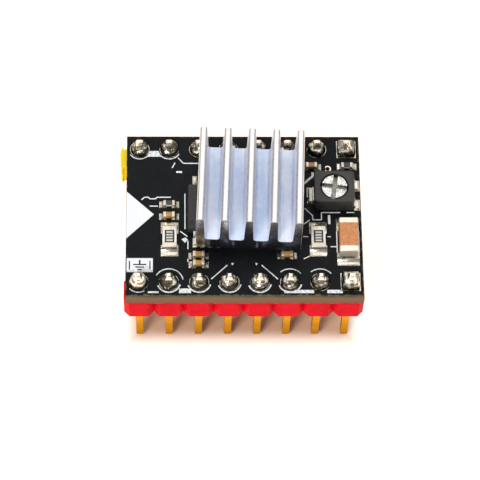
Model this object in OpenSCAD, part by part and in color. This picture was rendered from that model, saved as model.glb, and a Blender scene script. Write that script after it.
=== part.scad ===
// Plug-in stepper motor driver module: a board on two rows of square pins, with a driver
// chip under a finned heatsink, a current-setting trimmer and its small parts.
// Millimetres, +Z up. z = 0 is the plane of the pin tips, x = y = 0 the centre of the
// board. The power row of pins is at -Y and the logic row at +Y.

/* [Board] */
// Width of the board, along the pin rows
board_w = 20.0; // [20:0.1:24]
// Depth of the board, across the pin rows
board_d = 15.2; // [15:0.1:19]
// Thickness of the board with its copper and solder mask
board_t = 1.6; // [0.8:0.1:2.4]
// Thickness of the solder mask over the laminate
mask_t = 0.06; // [0.05:0.01:0.1]
// Thickness of the copper of a pad
copper_t = 0.035; // [0.02:0.005:0.045]
// Bare ring between a pad and the solder mask round it
mask_gap = 0.05; // [0.03:0.01:0.08]
// Thickness of the printed legend
ink_t = 0.02; // [0.01:0.005:0.025]
// Width of a thin legend line
ink_line = 0.09; // [0.08:0.01:0.2]
// Diameter of the drilled hole for a pin
drill_d = 1.1; // [1.05:0.01:1.2]
// Wall of the copper barrel in a hole
plating_t = 0.05; // [0.02:0.01:0.06]
// Diameter of a pin's round pad, and side of a square one
pin_pad = 1.65; // [1.5:0.05:1.9]

/* [Headers] */
// Distance from pin to pin in a row
pin_pitch = 2.54; // [2:0.01:2.54]
// Distance between the two rows of pins
row_span = 12.7; // [12:0.05:13]
// Side of a square pin
pin_side = 0.64; // [0.5:0.01:0.65]
// Length of a pin below its header
pin_below = 6.0; // [3:0.1:12]
// Length of a pin above the underside of the board
pin_above = 3.0; // [2.9:0.1:5]
// Length of the tapered end of a pin
pin_taper = 0.4; // [0.2:0.05:0.8]
// Side of the flat at the very tip of a pin
pin_tip = 0.3; // [0.1:0.05:0.45]
// Depth of a header's plastic, across the row
header_w = 2.54; // [2.2:0.01:2.6]
// Height of a header's plastic
header_h = 2.54; // [1.5:0.01:8.5]
// Depth of the notch between two of a header's segments
notch_depth = 0.46; // [0.2:0.02:0.6]
// Half the width of the notch, along the row
notch_half = 0.46; // [0.15:0.01:0.5]
// Length of the stub where the logic header was snapped off its strip
stub_l = 0.45; // [0.3:0.05:0.6]
// Height that the solder climbs up a pin above the board
pin_solder = 0.6; // [0.4:0.05:1]

/* [Driver chip] */
// Centre of the driver chip
driver_at = [0.05, 0.3]; // [-1:0.05:1]
// Length of the chip's moulding
driver_l = 9.7; // [9.5:0.1:10]
// Width of the chip's moulding
driver_w = 4.4; // [4.2:0.1:4.6]
// Thickness of the chip's moulding
driver_h = 0.87; // [0.8:0.01:1.05]
// Gap between the chip's moulding and the board
driver_lift = 0.08; // [0.05:0.01:0.15]
// Distance from lead to lead
lead_pitch = 0.65; // [0.6:0.01:0.65]
// Width of a lead
lead_w = 0.25; // [0.19:0.01:0.3]
// Thickness of a lead
lead_t = 0.15; // [0.12:0.01:0.18]
// Width of the chip over its leads
lead_span = 6.4; // [6.2:0.1:6.6]
// Length of a lead's foot
lead_foot = 0.6; // [0.45:0.05:0.7]

/* [Heatsink] */
// Centre of the heatsink
sink_at = [0.47, 0.62]; // [-1:0.01:1]
// Turn of the heatsink about Z, in degrees, as it was stuck on
sink_turn = -2.3; // [-5:0.1:5]
// Width of the heatsink, across its fins
sink_w = 8.8; // [8:0.1:10]
// Length of the heatsink, along its fins
sink_d = 8.8; // [8:0.1:9.5]
// Height of the heatsink
sink_h = 5.0; // [3:0.1:10]
// Thickness of the heatsink's base
sink_base = 1.5; // [1:0.1:2]
// Thickness of a fin at its tip
fin_tip = 0.65; // [0.4:0.05:0.8]
// Thickness of a fin at its root
fin_root = 0.85; // [0.7:0.05:1]
// Number of fins
fins = 5; // [3:1:6]
// Side of the thermal tape under the heatsink
tape_side = 8.5; // [8:0.1:8.8]
// Thickness of the thermal tape
tape_t = 0.1; // [0.1:0.05:0.3]

/* [Trimmer] */
// Centre of the trimmer
trimmer_at = [7.68, 1.86]; // [-9:0.01:9]
// Width of the trimmer's case, from the one terminal to the two
trimmer_w = 3.4; // [3.2:0.1:3.6]
// Depth of the trimmer's case
trimmer_d = 3.0; // [2.8:0.1:3.4]
// Height of the trimmer's case
trimmer_h = 1.7; // [1.6:0.1:2.5]
// Diameter of the metal rotor
rotor_d = 2.2; // [2:0.05:2.3]
// Thickness of the rotor's disc
rotor_t = 0.52; // [0.45:0.01:0.55]
// Diameter of the rotor's hub
hub_d = 0.9; // [0.7:0.05:1]
// Running clearance between the hub and its bore, on the radius
hub_clearance = 0.05; // [0.02:0.01:0.08]
// Clearance between the rotor's disc and the case, on the radius
disc_clearance = 0.1; // [0.06:0.01:0.15]
// Width of the rotor's cross slot
slot_w = 0.36; // [0.3:0.02:0.5]
// Depth of the rotor's cross slot
slot_depth = 0.3; // [0.2:0.02:0.35]
// Turn of the rotor's cross slot at rest, in degrees
slot_turn = -8; // [-45:1:45]
// Width of each of the two track terminals
end_tab_w = 0.8; // [0.6:0.05:0.9]
// Width of the wiper's terminal
wiper_tab_w = 1.3; // [1.1:0.05:1.5]
// Thickness of the terminals
tab_t = 0.12; // [0.1:0.01:0.15]

/* [Chip parts] */
// Gap between the board and the underside of a chip part
seat_gap = 0.03; // [0.03:0.01:0.06]
// Plating of a chip part's ends over its body
end_wrap = 0.03; // [0.02:0.01:0.04]
// Bulk capacitor: length, width and height
bulk_size = [3.2, 1.6, 1.5]; // [1:0.1:4]
// Centre of the bulk capacitor
bulk_at = [8.78, -2.6]; // [-9:0.01:9]
// Sense resistors: length, width and height
sense_size = [2.0, 1.25, 0.55]; // [0.4:0.05:3]
// Centre of the left sense resistor
sense_left_at = [-6.3, -2.35]; // [-9:0.01:9]
// Centre of the right sense resistor
sense_right_at = [6.27, -2.35]; // [-9:0.01:9]
// Small capacitors: length, width and height
cap_size = [1.0, 0.5, 0.5]; // [0.3:0.05:2]
// Centre of the charge pump capacitor
pump_at = [-3.85, -3.92]; // [-9:0.01:9]
// Centre of the boost capacitor
boost_at = [-3.85, -4.75]; // [-9:0.01:9]
// Centre of the logic supply capacitor
logic_at = [-6.35, -0.2]; // [-9:0.01:9]
// Centre of the reference capacitor
reference_at = [5.85, 4.6]; // [-9:0.01:9]
// Centre of the motor supply capacitor
supply_at = [3.6, -3.9]; // [-9:0.01:9]
// Small resistors: length, width and height
resistor_size = [1.0, 0.5, 0.36]; // [0.3:0.02:2]
// Centre of the pull-down resistor
pulldown_at = [-6.35, 0.95]; // [-9:0.01:9]
// Centre of the divider resistor
divider_at = [8.9, 4.65]; // [-9:0.01:9]

/* [Hidden] */
$fn = 48;
row_pins = 8;
pin_names = [for (row = ["power_pin_", "logic_pin_"]) for (i = [1:row_pins]) str(row, i)];

// Heights of the planes that the pieces share
z_board = pin_below + header_h;
z_top = z_board + board_t;
z_pad = z_top - mask_t + copper_t;
z_pad_low = z_board + mask_t - copper_t;
z_seat = z_top + seat_gap;
z_driver = z_top + driver_lift;
z_tape = z_driver + driver_h;
z_sink = z_tape + tape_t;
joint_film = z_seat - z_pad;

// Places of the pins
pin_x = [for (i = [0:row_pins - 1]) (i - (row_pins - 1) / 2) * pin_pitch];
power_y = -row_span / 2;
logic_y = row_span / 2;
square_pad_x = pin_x[row_pins - 1];

// Chip parts: place, turn, size, length of an end, reach of the pad past the end, climb of
// the solder on the end, and how much wider the pad is on each side
bulk_chip = [bulk_at, 90, bulk_size, 0.5, 0.62, 0.45, 0.14];
sense_chips = [for (at = [sense_left_at, sense_right_at]) [at, 90, sense_size, 0.4, 0.6, 0.32, 0.1]];
cap_chips = [for (at = [pump_at, boost_at, logic_at, reference_at, supply_at])
    [at, 0, cap_size, 0.24, 0.33, 0.28, 0.05]];
resistor_chips = [for (at = [pulldown_at, divider_at])
    [at, 0, resistor_size, 0.22, 0.33, 0.2, 0.05]];
chips = concat([bulk_chip], sense_chips, cap_chips, resistor_chips);

// Driver chip
leads_a_side = 14;
lead_x = [for (i = [0:leads_a_side - 1]) (i - (leads_a_side - 1) / 2) * lead_pitch];
lead_reach = 0.22;
lead_inside = 0.55;
mould_draft = 0.1;
driver_pad_size = [5.2, 3.0, 0.2];
driver_die_size = [3.4, 2.3, 0.3];
via_drill = 0.4;
via_at = concat([for (x = [-1.8, -0.6, 0.6, 1.8]) for (y = [-0.9, 0, 0.9]) driver_at + [x, y]],
    [[7.25, 4.45]]);

// Trimmer, with heights from the top of the board
trimmer_floor = 0.6;
recess_r = rotor_d / 2 + disc_clearance;
rotor_top = trimmer_h - 0.06;
disc_bottom = rotor_top - rotor_t;
wiper_t = 0.12;
wiper_gap = 0.02;
track_t = 0.04;
track_r = [0.7, 1.0];
track_gap = 37;
wiper_tab_z = 0.2;
end_tab_z = trimmer_floor - tab_t;
end_tab_y = 0.93;
tab_reach = 0.4;
tab_inner = 0.5;

// ---- shared shapes ----

// Points of a quarter ellipse from [x0, z1] to [x1, z0], hollow towards [x1, z1].
function hollow_quarter(x0, x1, z0, z1, steps = 6) =
    [for (i = [0:steps]) let (a = 90 * i / steps)
        [x1 - (x1 - x0) * cos(a), z1 - (z1 - z0) * sin(a)]];

// Points of a quarter ellipse from [x1, z0] to [x0, z1], full towards [x1, z1].
function full_quarter(x0, x1, z0, z1, steps = 6) =
    [for (i = [0:steps]) let (a = 90 * i / steps)
        [x0 + (x1 - x0) * cos(a), z0 + (z1 - z0) * sin(a)]];

module at_xy(at, turn = 0) {
    translate([at[0], at[1], 0]) rotate(turn) children();
}

module block(size, z) {
    translate([-size[0] / 2, -size[1] / 2, z]) cube(size);
}

// A straight bar of the given width between two points, with square ends.
module bar(from, to, wide, tall, z) {
    run = to - from;
    at_xy(from, atan2(run[1], run[0]))
        translate([0, -wide / 2, z]) cube([norm(run), wide, tall]);
}

// ---- pads, shared by the copper, the solder mask and the legend ----

module chip_pads(chip, grow, z, tall) {
    size = chip[2];
    inner = size[0] / 2 - chip[3] - 0.05;
    long = chip[3] + 0.05 + chip[4];
    wide = size[1] + 2 * chip[6];
    at_xy(chip[0], chip[1]) for (side = [0, 180]) rotate(side)
        translate([inner - grow, -wide / 2 - grow, z])
            cube([long + 2 * grow, wide + 2 * grow, tall]);
}

module lead_pads(grow, z, tall) {
    pad_in = lead_span / 2 - lead_foot - 0.1;
    pad_out = lead_span / 2 + lead_reach;
    wide = lead_w + 0.08;
    at_xy(driver_at) for (side = [0, 180]) rotate(side) for (x = lead_x)
        translate([x - wide / 2 - grow, pad_in - grow, z])
            cube([wide + 2 * grow, pad_out - pad_in + 2 * grow, tall]);
}

module trimmer_pads(grow, z, tall) {
    inner = trimmer_w / 2 + 0.02;
    out = trimmer_w / 2 + tab_reach + 0.15;
    at_xy(trimmer_at) {
        for (y = [-end_tab_y, end_tab_y])
            translate([inner - grow, y - end_tab_w / 2 - 0.1 - grow, z])
                cube([out - inner + 2 * grow, end_tab_w + 0.2 + 2 * grow, tall]);
        rotate(180) translate([inner - grow, -wiper_tab_w / 2 - 0.1 - grow, z])
            cube([out - inner + 2 * grow, wiper_tab_w + 0.2 + 2 * grow, tall]);
    }
}

module chip_side_pads(grow, z, tall) {
    for (chip = chips) chip_pads(chip, grow, z, tall);
    lead_pads(grow, z, tall);
    trimmer_pads(grow, z, tall);
    at_xy(driver_at) block([driver_pad_size[0] + 2 * grow, driver_pad_size[1] + 2 * grow, tall], z);
}

module pin_pads(grow, z, tall) {
    for (x = pin_x) for (y = [power_y, logic_y])
        at_xy([x, y])
            if (x == square_pad_x) block([pin_pad + 2 * grow, pin_pad + 2 * grow, tall], z);
            else translate([0, 0, z]) cylinder(d = pin_pad + 2 * grow, h = tall);
}

module via_pads(grow, z, tall, only_open = false) {
    for (at = via_at)
        if (!only_open || norm(at - driver_at) > 3)
            at_xy(at) translate([0, 0, z]) cylinder(d = via_drill + 0.2 + 2 * grow, h = tall);
}

module pin_holes(d, z, tall) {
    for (x = pin_x) for (y = [power_y, logic_y])
        at_xy([x, y]) translate([0, 0, z]) cylinder(d = d, h = tall);
}

module via_holes(d, z, tall) {
    for (at = via_at) at_xy(at) translate([0, 0, z]) cylinder(d = d, h = tall);
}

// ---- board ----

module laminate() {
    color("#6f6142") difference() {
        block([board_w, board_d, board_t - 2 * mask_t], z_board + mask_t);
        pin_holes(drill_d, z_board - 1, board_t + 2);
        via_holes(via_drill, z_board - 1, board_t + 2);
    }
}

module copper_top() {
    z = z_top - mask_t;
    color("#c9c3b4") difference() {
        union() {
            chip_side_pads(0, z, copper_t);
            pin_pads(0, z, copper_t);
            via_pads(0, z, copper_t);
        }
        pin_holes(drill_d, z - 1, 2);
        via_holes(via_drill, z - 1, 2);
    }
}

module copper_bottom() {
    color("#c9c3b4") difference() {
        union() {
            pin_pads(0, z_pad_low, copper_t);
            via_pads(0, z_pad_low, copper_t);
        }
        pin_holes(drill_d, z_pad_low - 1, 2);
        via_holes(via_drill, z_pad_low - 1, 2);
    }
}

module hole_barrels() {
    tall = z_pad - z_pad_low;
    color("#b87333") difference() {
        union() {
            pin_holes(drill_d, z_pad_low, tall);
            via_holes(via_drill, z_pad_low, tall);
        }
        pin_holes(drill_d - 2 * plating_t, z_pad_low - 1, tall + 2);
        via_holes(via_drill - 2 * plating_t, z_pad_low - 1, tall + 2);
    }
}

// The mask is open over every pad, and tents the thermal vias' rings on the underside.
module mask_top() {
    z = z_top - mask_t;
    color("#15151a") difference() {
        block([board_w, board_d, mask_t], z);
        chip_side_pads(mask_gap, z - 1, mask_t + 2);
        pin_pads(mask_gap, z - 1, mask_t + 2);
        via_pads(mask_gap, z - 1, mask_t + 2, true);
    }
}

module mask_bottom() {
    color("#15151a") difference() {
        block([board_w, board_d, mask_t], z_board);
        pin_pads(mask_gap, z_board - 1, mask_t + 2);
        via_pads(mask_gap, z_board - 1, mask_t + 2);
    }
}

// ---- printed legend ----

// The stretch of a ring between two angles.
module ink_arc(at, r, from, to, wide = ink_line) {
    reach = 2 * r;
    at_xy(at) translate([0, 0, z_top]) linear_extrude(ink_t) intersection() {
        difference() {
            circle(r + wide / 2);
            circle(r - wide / 2);
        }
        polygon(concat([[0, 0]], [for (i = [0:6]) let (a = from + (to - from) * i / 6)
            [reach * cos(a), reach * sin(a)]]));
    }
}

module ink_line(points, wide = ink_line) {
    for (i = [1:len(points) - 1]) bar(points[i - 1], points[i], wide, ink_t, z_top);
}

module ink_patch(points) {
    translate([0, 0, z_top]) linear_extrude(ink_t) polygon(points);
}

// A white label that marks the ground pin, with the ground sign left bare in it.
module ground_label() {
    label = [2.2, 1.3];
    label_at = [-board_w / 2 + 0.1 + label[0] / 2, power_y + 1.55];
    bare = ink_t + 2;
    at_xy(label_at) difference() {
        block([label[0], label[1], ink_t], z_top);
        translate([0, 0.3, 0]) block([0.14, 0.36, bare], z_top - 1);
        for (i = [0:2]) translate([0, 0.06 - 0.24 * i, 0])
            block([1.1 - 0.36 * i, 0.12, bare], z_top - 1);
        for (x = [-0.86, 0.86]) translate([x, 0, 0]) block([0.1, 0.8, bare], z_top - 1);
    }
}

// A plain triangle at the edge shows which way round the module plugs in.
module turn_mark() {
    edge = -board_w / 2 + 0.03;
    ink_patch([[edge, 2.2], [edge + 2.33, 0], [edge, -2.3]]);
}

module part_outlines() {
    ink_line([[-5.0, 2.0], [-5.0, -1.4]]);
    ink_line([[-5.6, 5.5], [-5.15, 4.95], [-3.4, 4.95]]);
    ink_line([[-8.7, 1.4], [-8.45, 1.65], [-8.1, 1.65], [-8.0, 1.5], [-7.5, 1.5],
        [-7.4, 1.65], [-6.2, 1.65]]);
    ink_line([[-8.0, 0.8], [-7.3, 0.8]]);
    ink_line([[-5.75, 4.1], [-5.25, 4.1]], 0.16);
    ink_line([[-6.1, 4.5], [-5.85, 5.0]]);
    ink_line([[-5.4, -1.6], [-4.8, -2.1]]);
    ink_patch([[-5.3, -2.35], [-4.95, -2.2], [-4.75, -2.4], [-5.0, -2.7]]);
    ink_line([[5.2, 3.0], [5.6, 3.4], [5.95, 3.7], [5.95, 4.1]], 0.2);
    ink_line([[5.2, 0.6], [5.85, -0.1], [5.85, -0.5], [6.6, -0.5], [6.6, 0.2], [8.2, 0.2]]);
    ink_line([[8.75, 0.2], [9.4, 0.2]]);
    ink_line([[7.25, -0.05], [7.25, -0.9]], 0.2);
    ink_line([[7.85, -1.5], [7.85, -3.6]]);
    ink_line([[9.72, -1.5], [9.72, -3.6]]);
    ink_line([[5.0, -2.1], [5.45, -2.1]]);
    ink_line([[7.05, -2.1], [7.35, -2.1]]);
    ink_line([[7.3, -3.05], [7.8, -3.05]]);
    ink_line([[5.0, -4.2], [5.5, -3.95]]);
    ink_line([[5.1, -0.9], [5.6, -0.5]]);
    ink_line([[-4.75, -3.3], [-4.75, -2.5]]);
    ink_line([[-4.75, -4.2], [-4.75, -4.5]]);
}

// Rings and short arcs round the pins, and blocks at the edge between them.
module pin_marks() {
    ring = pin_pad / 2 + 0.15;
    wide_ring = pin_pad / 2 + 0.38;
    ink_arc([pin_x[0], power_y], ring, 220, 300);
    ink_arc([pin_x[1], power_y], wide_ring, 10, 150);
    for (x = [pin_x[1], pin_x[2], pin_x[3], pin_x[4], pin_x[5]])
        ink_arc([x, power_y], ring, 200, 345, ink_line + 0.03);
    for (x = [pin_x[5], pin_x[6]]) ink_arc([x, power_y], wide_ring, 40, 130);
    for (x = [pin_x[0], pin_x[1]]) ink_arc([x, logic_y], ring, 215, 330);
    ink_patch([[pin_x[0] + 0.65, logic_y - 0.75], [pin_x[0] + 0.75, logic_y - 0.2],
        [pin_x[1] - 0.95, logic_y - 0.2], [pin_x[1] - 0.65, logic_y - 0.75]]);
    for (side = [-1, 1]) {
        ink_line([[side * 2.8, -6.1], [side * 1.45, -4.8]]);
        ink_patch([[side * 0.9, -4.6], [side * 1.12, -4.63], [side * 1.0, -4.82]]);
    }
    edge = -board_d / 2 + 0.2;
    for (run = [[-8.1, -7.2, 0.16], [-5.5, -4.5, 0.42], [3.3, 5.8, 0.3], [6.9, 8.2, 0.3]])
        translate([run[0], edge, z_top]) cube([run[1] - run[0], run[2], ink_t]);
}

module legend_top() {
    color("#f2f3f5") difference() {
        union() {
            turn_mark();
            ground_label();
            part_outlines();
            pin_marks();
        }
        chip_side_pads(mask_gap, z_top - 1, 2);
        pin_pads(mask_gap, z_top - 1, 2);
        via_pads(mask_gap, z_top - 1, 2, true);
    }
}

// ---- headers and pins ----

// Outline of a snap-off header: one octagon for each pin, joined at the necks.
module header_outline() {
    half = header_w / 2;
    neck = half - notch_depth;
    near = [for (x = pin_x) for (p = [[-pin_pitch / 2, neck], [-pin_pitch / 2 + notch_half, half],
        [pin_pitch / 2 - notch_half, half]]) [x + p[0], -p[1]]];
    end = pin_x[row_pins - 1] + pin_pitch / 2;
    far = [for (i = [len(near) - 1:-1:0]) [near[i][0], -near[i][1]]];
    polygon(concat(near, [[end, -neck], [end, neck]], far));
}

// What is left of the next segment when the strip is snapped a little past the notch.
module snapped_stub() {
    half = header_w / 2;
    neck = half - notch_depth;
    end = pin_x[0] - pin_pitch / 2;
    flare = stub_l * 0.6;
    crown = neck + flare * notch_depth / notch_half;
    polygon([[end, -neck], [end, neck], [end - flare, crown],
        [end - stub_l * 0.75, half * 0.8], [end - stub_l, half * 0.3],
        [end - stub_l * 0.8, -half * 0.15], [end - stub_l * 0.9, -half * 0.55],
        [end - flare, -crown]]);
}

module pin_slots() {
    for (x = pin_x) translate([x, 0]) square(pin_side, center = true);
}

module power_header() {
    color("#e3152c") translate([0, power_y, pin_below]) linear_extrude(header_h) difference() {
        header_outline();
        pin_slots();
    }
}

module logic_header() {
    color("#f4cf12") translate([0, logic_y, pin_below]) linear_extrude(header_h) difference() {
        union() {
            header_outline();
            snapped_stub();
        }
        pin_slots();
    }
}

// Side view of a pin, tapered at both ends; two of them crossed make the pin.
module pin_profile(z_high) {
    half = pin_side / 2;
    tip = pin_tip / 2;
    polygon([[-tip, 0], [tip, 0], [half, pin_taper], [half, z_high - pin_taper],
        [tip, z_high], [-tip, z_high], [-half, z_high - pin_taper], [-half, pin_taper]]);
}

module square_pin(z_high) {
    intersection() {
        rotate([90, 0, 0]) translate([0, 0, -pin_side / 2])
            linear_extrude(pin_side) pin_profile(z_high);
        rotate([90, 0, 90]) translate([0, 0, -pin_side / 2])
            linear_extrude(pin_side) pin_profile(z_high);
    }
}

module header_pin(x, y) {
    color("#c9a13b") at_xy([x, y]) square_pin(z_board + pin_above);
}

// ---- solder ----

// Solder fills the barrel and stands round the pin in a full mound. The pin passes through.
module pin_joint() {
    fill_r = drill_d / 2 - plating_t;
    foot_r = pin_pad / 2 - 0.03;
    neck_r = pin_side * 0.5 * sqrt(2) + 0.03;
    crown = z_top + pin_solder;
    rim = z_pad + 0.06;
    difference() {
        rotate_extrude() polygon(concat([[0, z_pad_low], [fill_r, z_pad_low], [fill_r, z_pad],
            [foot_r, z_pad]], full_quarter(neck_r, foot_r, rim, crown), [[0, crown]]));
        translate([-pin_side / 2, -pin_side / 2, z_pad_low - 1])
            cube([pin_side, pin_side, crown - z_pad_low + 2]);
    }
}

module power_joints() {
    color("#d9d6cc") for (x = pin_x) at_xy([x, power_y]) pin_joint();
}

module logic_joints() {
    color("#d9d6cc") for (x = pin_x) at_xy([x, logic_y]) pin_joint();
}

// Solder under a terminal and up its outer face, which stands at x = 0. Its width is along Y.
module solder_foot(under, reach, climb, wide) {
    rotate([90, 0, 0]) translate([0, 0, -wide / 2]) linear_extrude(wide)
        polygon(concat([[-under, z_pad], [reach, z_pad]],
            [for (i = [6:-1:0]) hollow_quarter(0, reach, z_seat, z_seat + climb)[i]],
            [[0, z_seat], [-under, z_seat]]));
}

module chip_joints() {
    color("#d9d6cc") {
        for (chip = chips) at_xy(chip[0], chip[1]) for (side = [0, 180]) rotate(side)
            translate([chip[2][0] / 2, 0, 0])
                solder_foot(chip[3], chip[4] - 0.03, chip[5], chip[2][1] + 2 * chip[6] - 0.04);
        at_xy(driver_at) for (side = [90, 270]) rotate(side) for (y = lead_x)
            translate([lead_span / 2, y, 0])
                solder_foot(lead_foot - 0.1, lead_reach - 0.03, lead_t * 0.8, lead_w);
        at_xy(driver_at)
            block([driver_pad_size[0] - 0.1, driver_pad_size[1] - 0.1, z_driver - z_pad], z_pad);
        at_xy(trimmer_at) {
            for (y = [-end_tab_y, end_tab_y]) translate([trimmer_w / 2 + tab_reach, y, 0])
                solder_foot(tab_reach - 0.05, 0.12, tab_t * 0.8, end_tab_w + 0.1);
            rotate(180) translate([trimmer_w / 2 + tab_reach, 0, 0])
                solder_foot(tab_reach - 0.05, 0.12, tab_t * 0.8, wiper_tab_w + 0.1);
        }
    }
}

// ---- driver chip ----

// Side view of a gull-wing lead: x outwards from the chip's centre, y up from the board.
module lead_profile() {
    body = driver_w / 2;
    mid = driver_lift + driver_h * 0.5;
    out = lead_span / 2;
    knee = out - lead_foot;
    polygon([[body - lead_inside, mid - lead_t / 2], [body + 0.12, mid - lead_t / 2],
        [knee - 0.1, seat_gap + 0.05], [knee, seat_gap], [out, seat_gap],
        [out, seat_gap + lead_t], [knee + 0.06, seat_gap + lead_t],
        [body + 0.22, mid + lead_t / 2], [body - lead_inside, mid + lead_t / 2]]);
}

module leads() {
    at_xy(driver_at) for (side = [0, 180]) rotate(side) for (x = lead_x)
        translate([x - lead_w / 2, 0, z_top]) rotate([90, 0, 90])
            linear_extrude(lead_w) lead_profile();
}

module driver_pad_solid() {
    at_xy(driver_at) block(driver_pad_size, z_driver);
}

module driver_die_solid() {
    at_xy(driver_at) block(driver_die_size, z_driver + driver_pad_size[2]);
}

// Side view of the moulding, which tapers up and down from its parting line.
module mould_profile(wide) {
    half = wide / 2;
    polygon([[-half + mould_draft, 0], [half - mould_draft, 0], [half, driver_h / 2],
        [half - mould_draft, driver_h], [-half + mould_draft, driver_h], [-half, driver_h / 2]]);
}

module driver_case() {
    color("#2b2b2e") difference() {
        at_xy(driver_at) translate([0, 0, z_driver]) intersection() {
            rotate([90, 0, 0]) translate([0, 0, -driver_w / 2])
                linear_extrude(driver_w) mould_profile(driver_l);
            rotate([90, 0, 90]) translate([0, 0, -driver_l / 2])
                linear_extrude(driver_l) mould_profile(driver_w);
        }
        leads();
        driver_pad_solid();
        driver_die_solid();
    }
}

module driver_leads() {
    color("#cfcdc6") leads();
}

module driver_pad() {
    color("#cfcdc6") driver_pad_solid();
}

module driver_die() {
    color("#6b7280") driver_die_solid();
}

// ---- heatsink ----

module on_sink() {
    at_xy(sink_at, sink_turn) children();
}

module thermal_tape() {
    color("#d8dde6") on_sink() block([tape_side, tape_side, tape_t], z_tape);
}

// End view of one channel between two fins: rounded at the bottom, open at the top.
module channel(mid, tip_gap, root_gap) {
    r = 0.25;
    hull() {
        for (side = [-1, 1]) translate([mid + side * (root_gap / 2 - r), sink_base + r]) circle(r, $fn = 32);
        translate([mid - tip_gap / 2, sink_h]) square([tip_gap, 0.01]);
    }
    lip = 0.12;
    translate([0, sink_h - lip]) polygon([[mid - tip_gap / 2, 0], [mid + tip_gap / 2, 0],
        [mid + tip_gap / 2 + lip * 0.7, lip + 0.01], [mid - tip_gap / 2 - lip * 0.7, lip + 0.01]]);
}

module sink_profile() {
    pitch = (sink_w - fin_tip) / (fins - 1);
    tip_gap = pitch - fin_tip;
    root_gap = pitch - fin_root;
    difference() {
        translate([-sink_w / 2, 0]) square([sink_w, sink_h]);
        for (i = [0:fins - 2])
            channel((i - (fins - 2) / 2) * pitch, tip_gap, root_gap);
        for (side = [-1, 1]) translate([side * sink_w / 2, sink_h])
            rotate(45) square(0.14, center = true);
    }
}

module heatsink() {
    color("#d5d9e6") on_sink() translate([0, 0, z_sink]) rotate([90, 0, 0])
        translate([0, 0, -sink_d / 2]) linear_extrude(sink_d) sink_profile();
}

// ---- trimmer ----

module on_trimmer() {
    at_xy(trimmer_at) translate([0, 0, z_top]) children();
}

// Side view of a terminal: a strip in the case's floor, down the outside to a flat foot.
module tab_profile(inner, run_z) {
    wall = trimmer_w / 2;
    polygon([[inner, run_z], [wall, run_z], [wall, seat_gap], [wall + tab_reach, seat_gap],
        [wall + tab_reach, seat_gap + tab_t], [wall + tab_t, seat_gap + tab_t],
        [wall + tab_t, run_z + tab_t], [inner, run_z + tab_t]]);
}

module tab(inner, run_z, wide) {
    rotate([90, 0, 0]) translate([0, 0, -wide / 2]) linear_extrude(wide) tab_profile(inner, run_z);
}

module end_tabs() {
    for (y = [-end_tab_y, end_tab_y]) translate([0, y, 0]) tab(tab_inner, end_tab_z, end_tab_w);
}

module wiper_tab() {
    rotate(180) tab(-hub_d / 2 - hub_clearance - 0.1, wiper_tab_z, wiper_tab_w);
}

module trimmer_case() {
    corner = 0.18;
    w = trimmer_w / 2;
    d = trimmer_d / 2;
    low = 0.04;
    color("#3a3a3e") on_trimmer() difference() {
        translate([0, 0, low]) linear_extrude(trimmer_h - low)
            polygon([[-w + corner, -d], [w - corner, -d], [w, -d + corner], [w, d - corner],
                [w - corner, d], [-w + corner, d], [-w, d - corner], [-w, -d + corner]]);
        translate([0, 0, trimmer_floor]) cylinder(r = recess_r, h = trimmer_h);
        translate([0, 0, wiper_tab_z + tab_t])
            cylinder(r = hub_d / 2 + hub_clearance, h = trimmer_h);
        end_tabs();
        wiper_tab();
    }
}

module trimmer_rotor() {
    hub_z = wiper_tab_z + tab_t + wiper_gap;
    color("#e4e2dc") on_trimmer() difference() {
        union() {
            translate([0, 0, disc_bottom]) cylinder(d = rotor_d, h = rotor_t);
            translate([0, 0, hub_z]) cylinder(d = hub_d, h = disc_bottom - hub_z + 0.05);
        }
        for (turn = [0, 90]) rotate(slot_turn + turn)
            block([rotor_d + 1, slot_w, slot_depth + 1], rotor_top - slot_depth);
    }
}

// A sprung ring under the rotor, with one finger down to the track.
module trimmer_wiper() {
    ring_z = disc_bottom - wiper_t;
    finger_z = trimmer_floor + track_t + wiper_gap;
    mid_r = (track_r[0] + track_r[1]) / 2;
    color("#c9b26a") on_trimmer() {
        difference() {
            translate([0, 0, ring_z]) cylinder(r = track_r[1] - 0.05, h = wiper_t);
            translate([0, 0, ring_z - 1]) cylinder(d = hub_d, h = wiper_t + 2);
        }
        translate([-mid_r, 0, 0]) block([0.2, 0.36, ring_z - finger_z + 0.02], finger_z);
    }
}

// The resistive track is a ring with a gap towards the two end terminals.
module trimmer_track() {
    color("#1f1f22") on_trimmer() translate([0, 0, trimmer_floor])
        rotate([0, 0, track_gap]) rotate_extrude(angle = 360 - 2 * track_gap)
            translate([track_r[0], 0]) square([track_r[1] - track_r[0], track_t]);
}

module trimmer_end_tabs() {
    color("#cfcbb8") on_trimmer() end_tabs();
}

module trimmer_wiper_tab() {
    color("#cfcbb8") on_trimmer() wiper_tab();
}

// ---- chip parts ----

module on_chip(chip) {
    at_xy(chip[0], chip[1]) translate([0, 0, z_seat]) children();
}

module chip_core(chip) {
    size = chip[2];
    block([size[0] - 2 * end_wrap, size[1] - 2 * end_wrap, size[2] - 2 * end_wrap], end_wrap);
}

module chip_body(chip) {
    on_chip(chip) chip_core(chip);
}

module chip_ends(chip) {
    size = chip[2];
    on_chip(chip) difference() {
        for (side = [-1, 1]) translate([side * (size[0] - chip[3]) / 2, 0, 0])
            block([chip[3], size[1], size[2]], 0);
        chip_core(chip);
    }
}

// The protective coat lies on a resistor's body between its ends.
module chip_coat(chip, edge) {
    size = chip[2];
    on_chip(chip)
        block([size[0] - 2 * chip[3] - 0.02, size[1] - 2 * edge, end_wrap * 0.9], size[2] - end_wrap);
}

module bulk_cap_body() {
    color("#c9763a") chip_body(bulk_chip);
}

module bulk_cap_ends() {
    color("#e8dfcf") chip_ends(bulk_chip);
}

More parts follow.
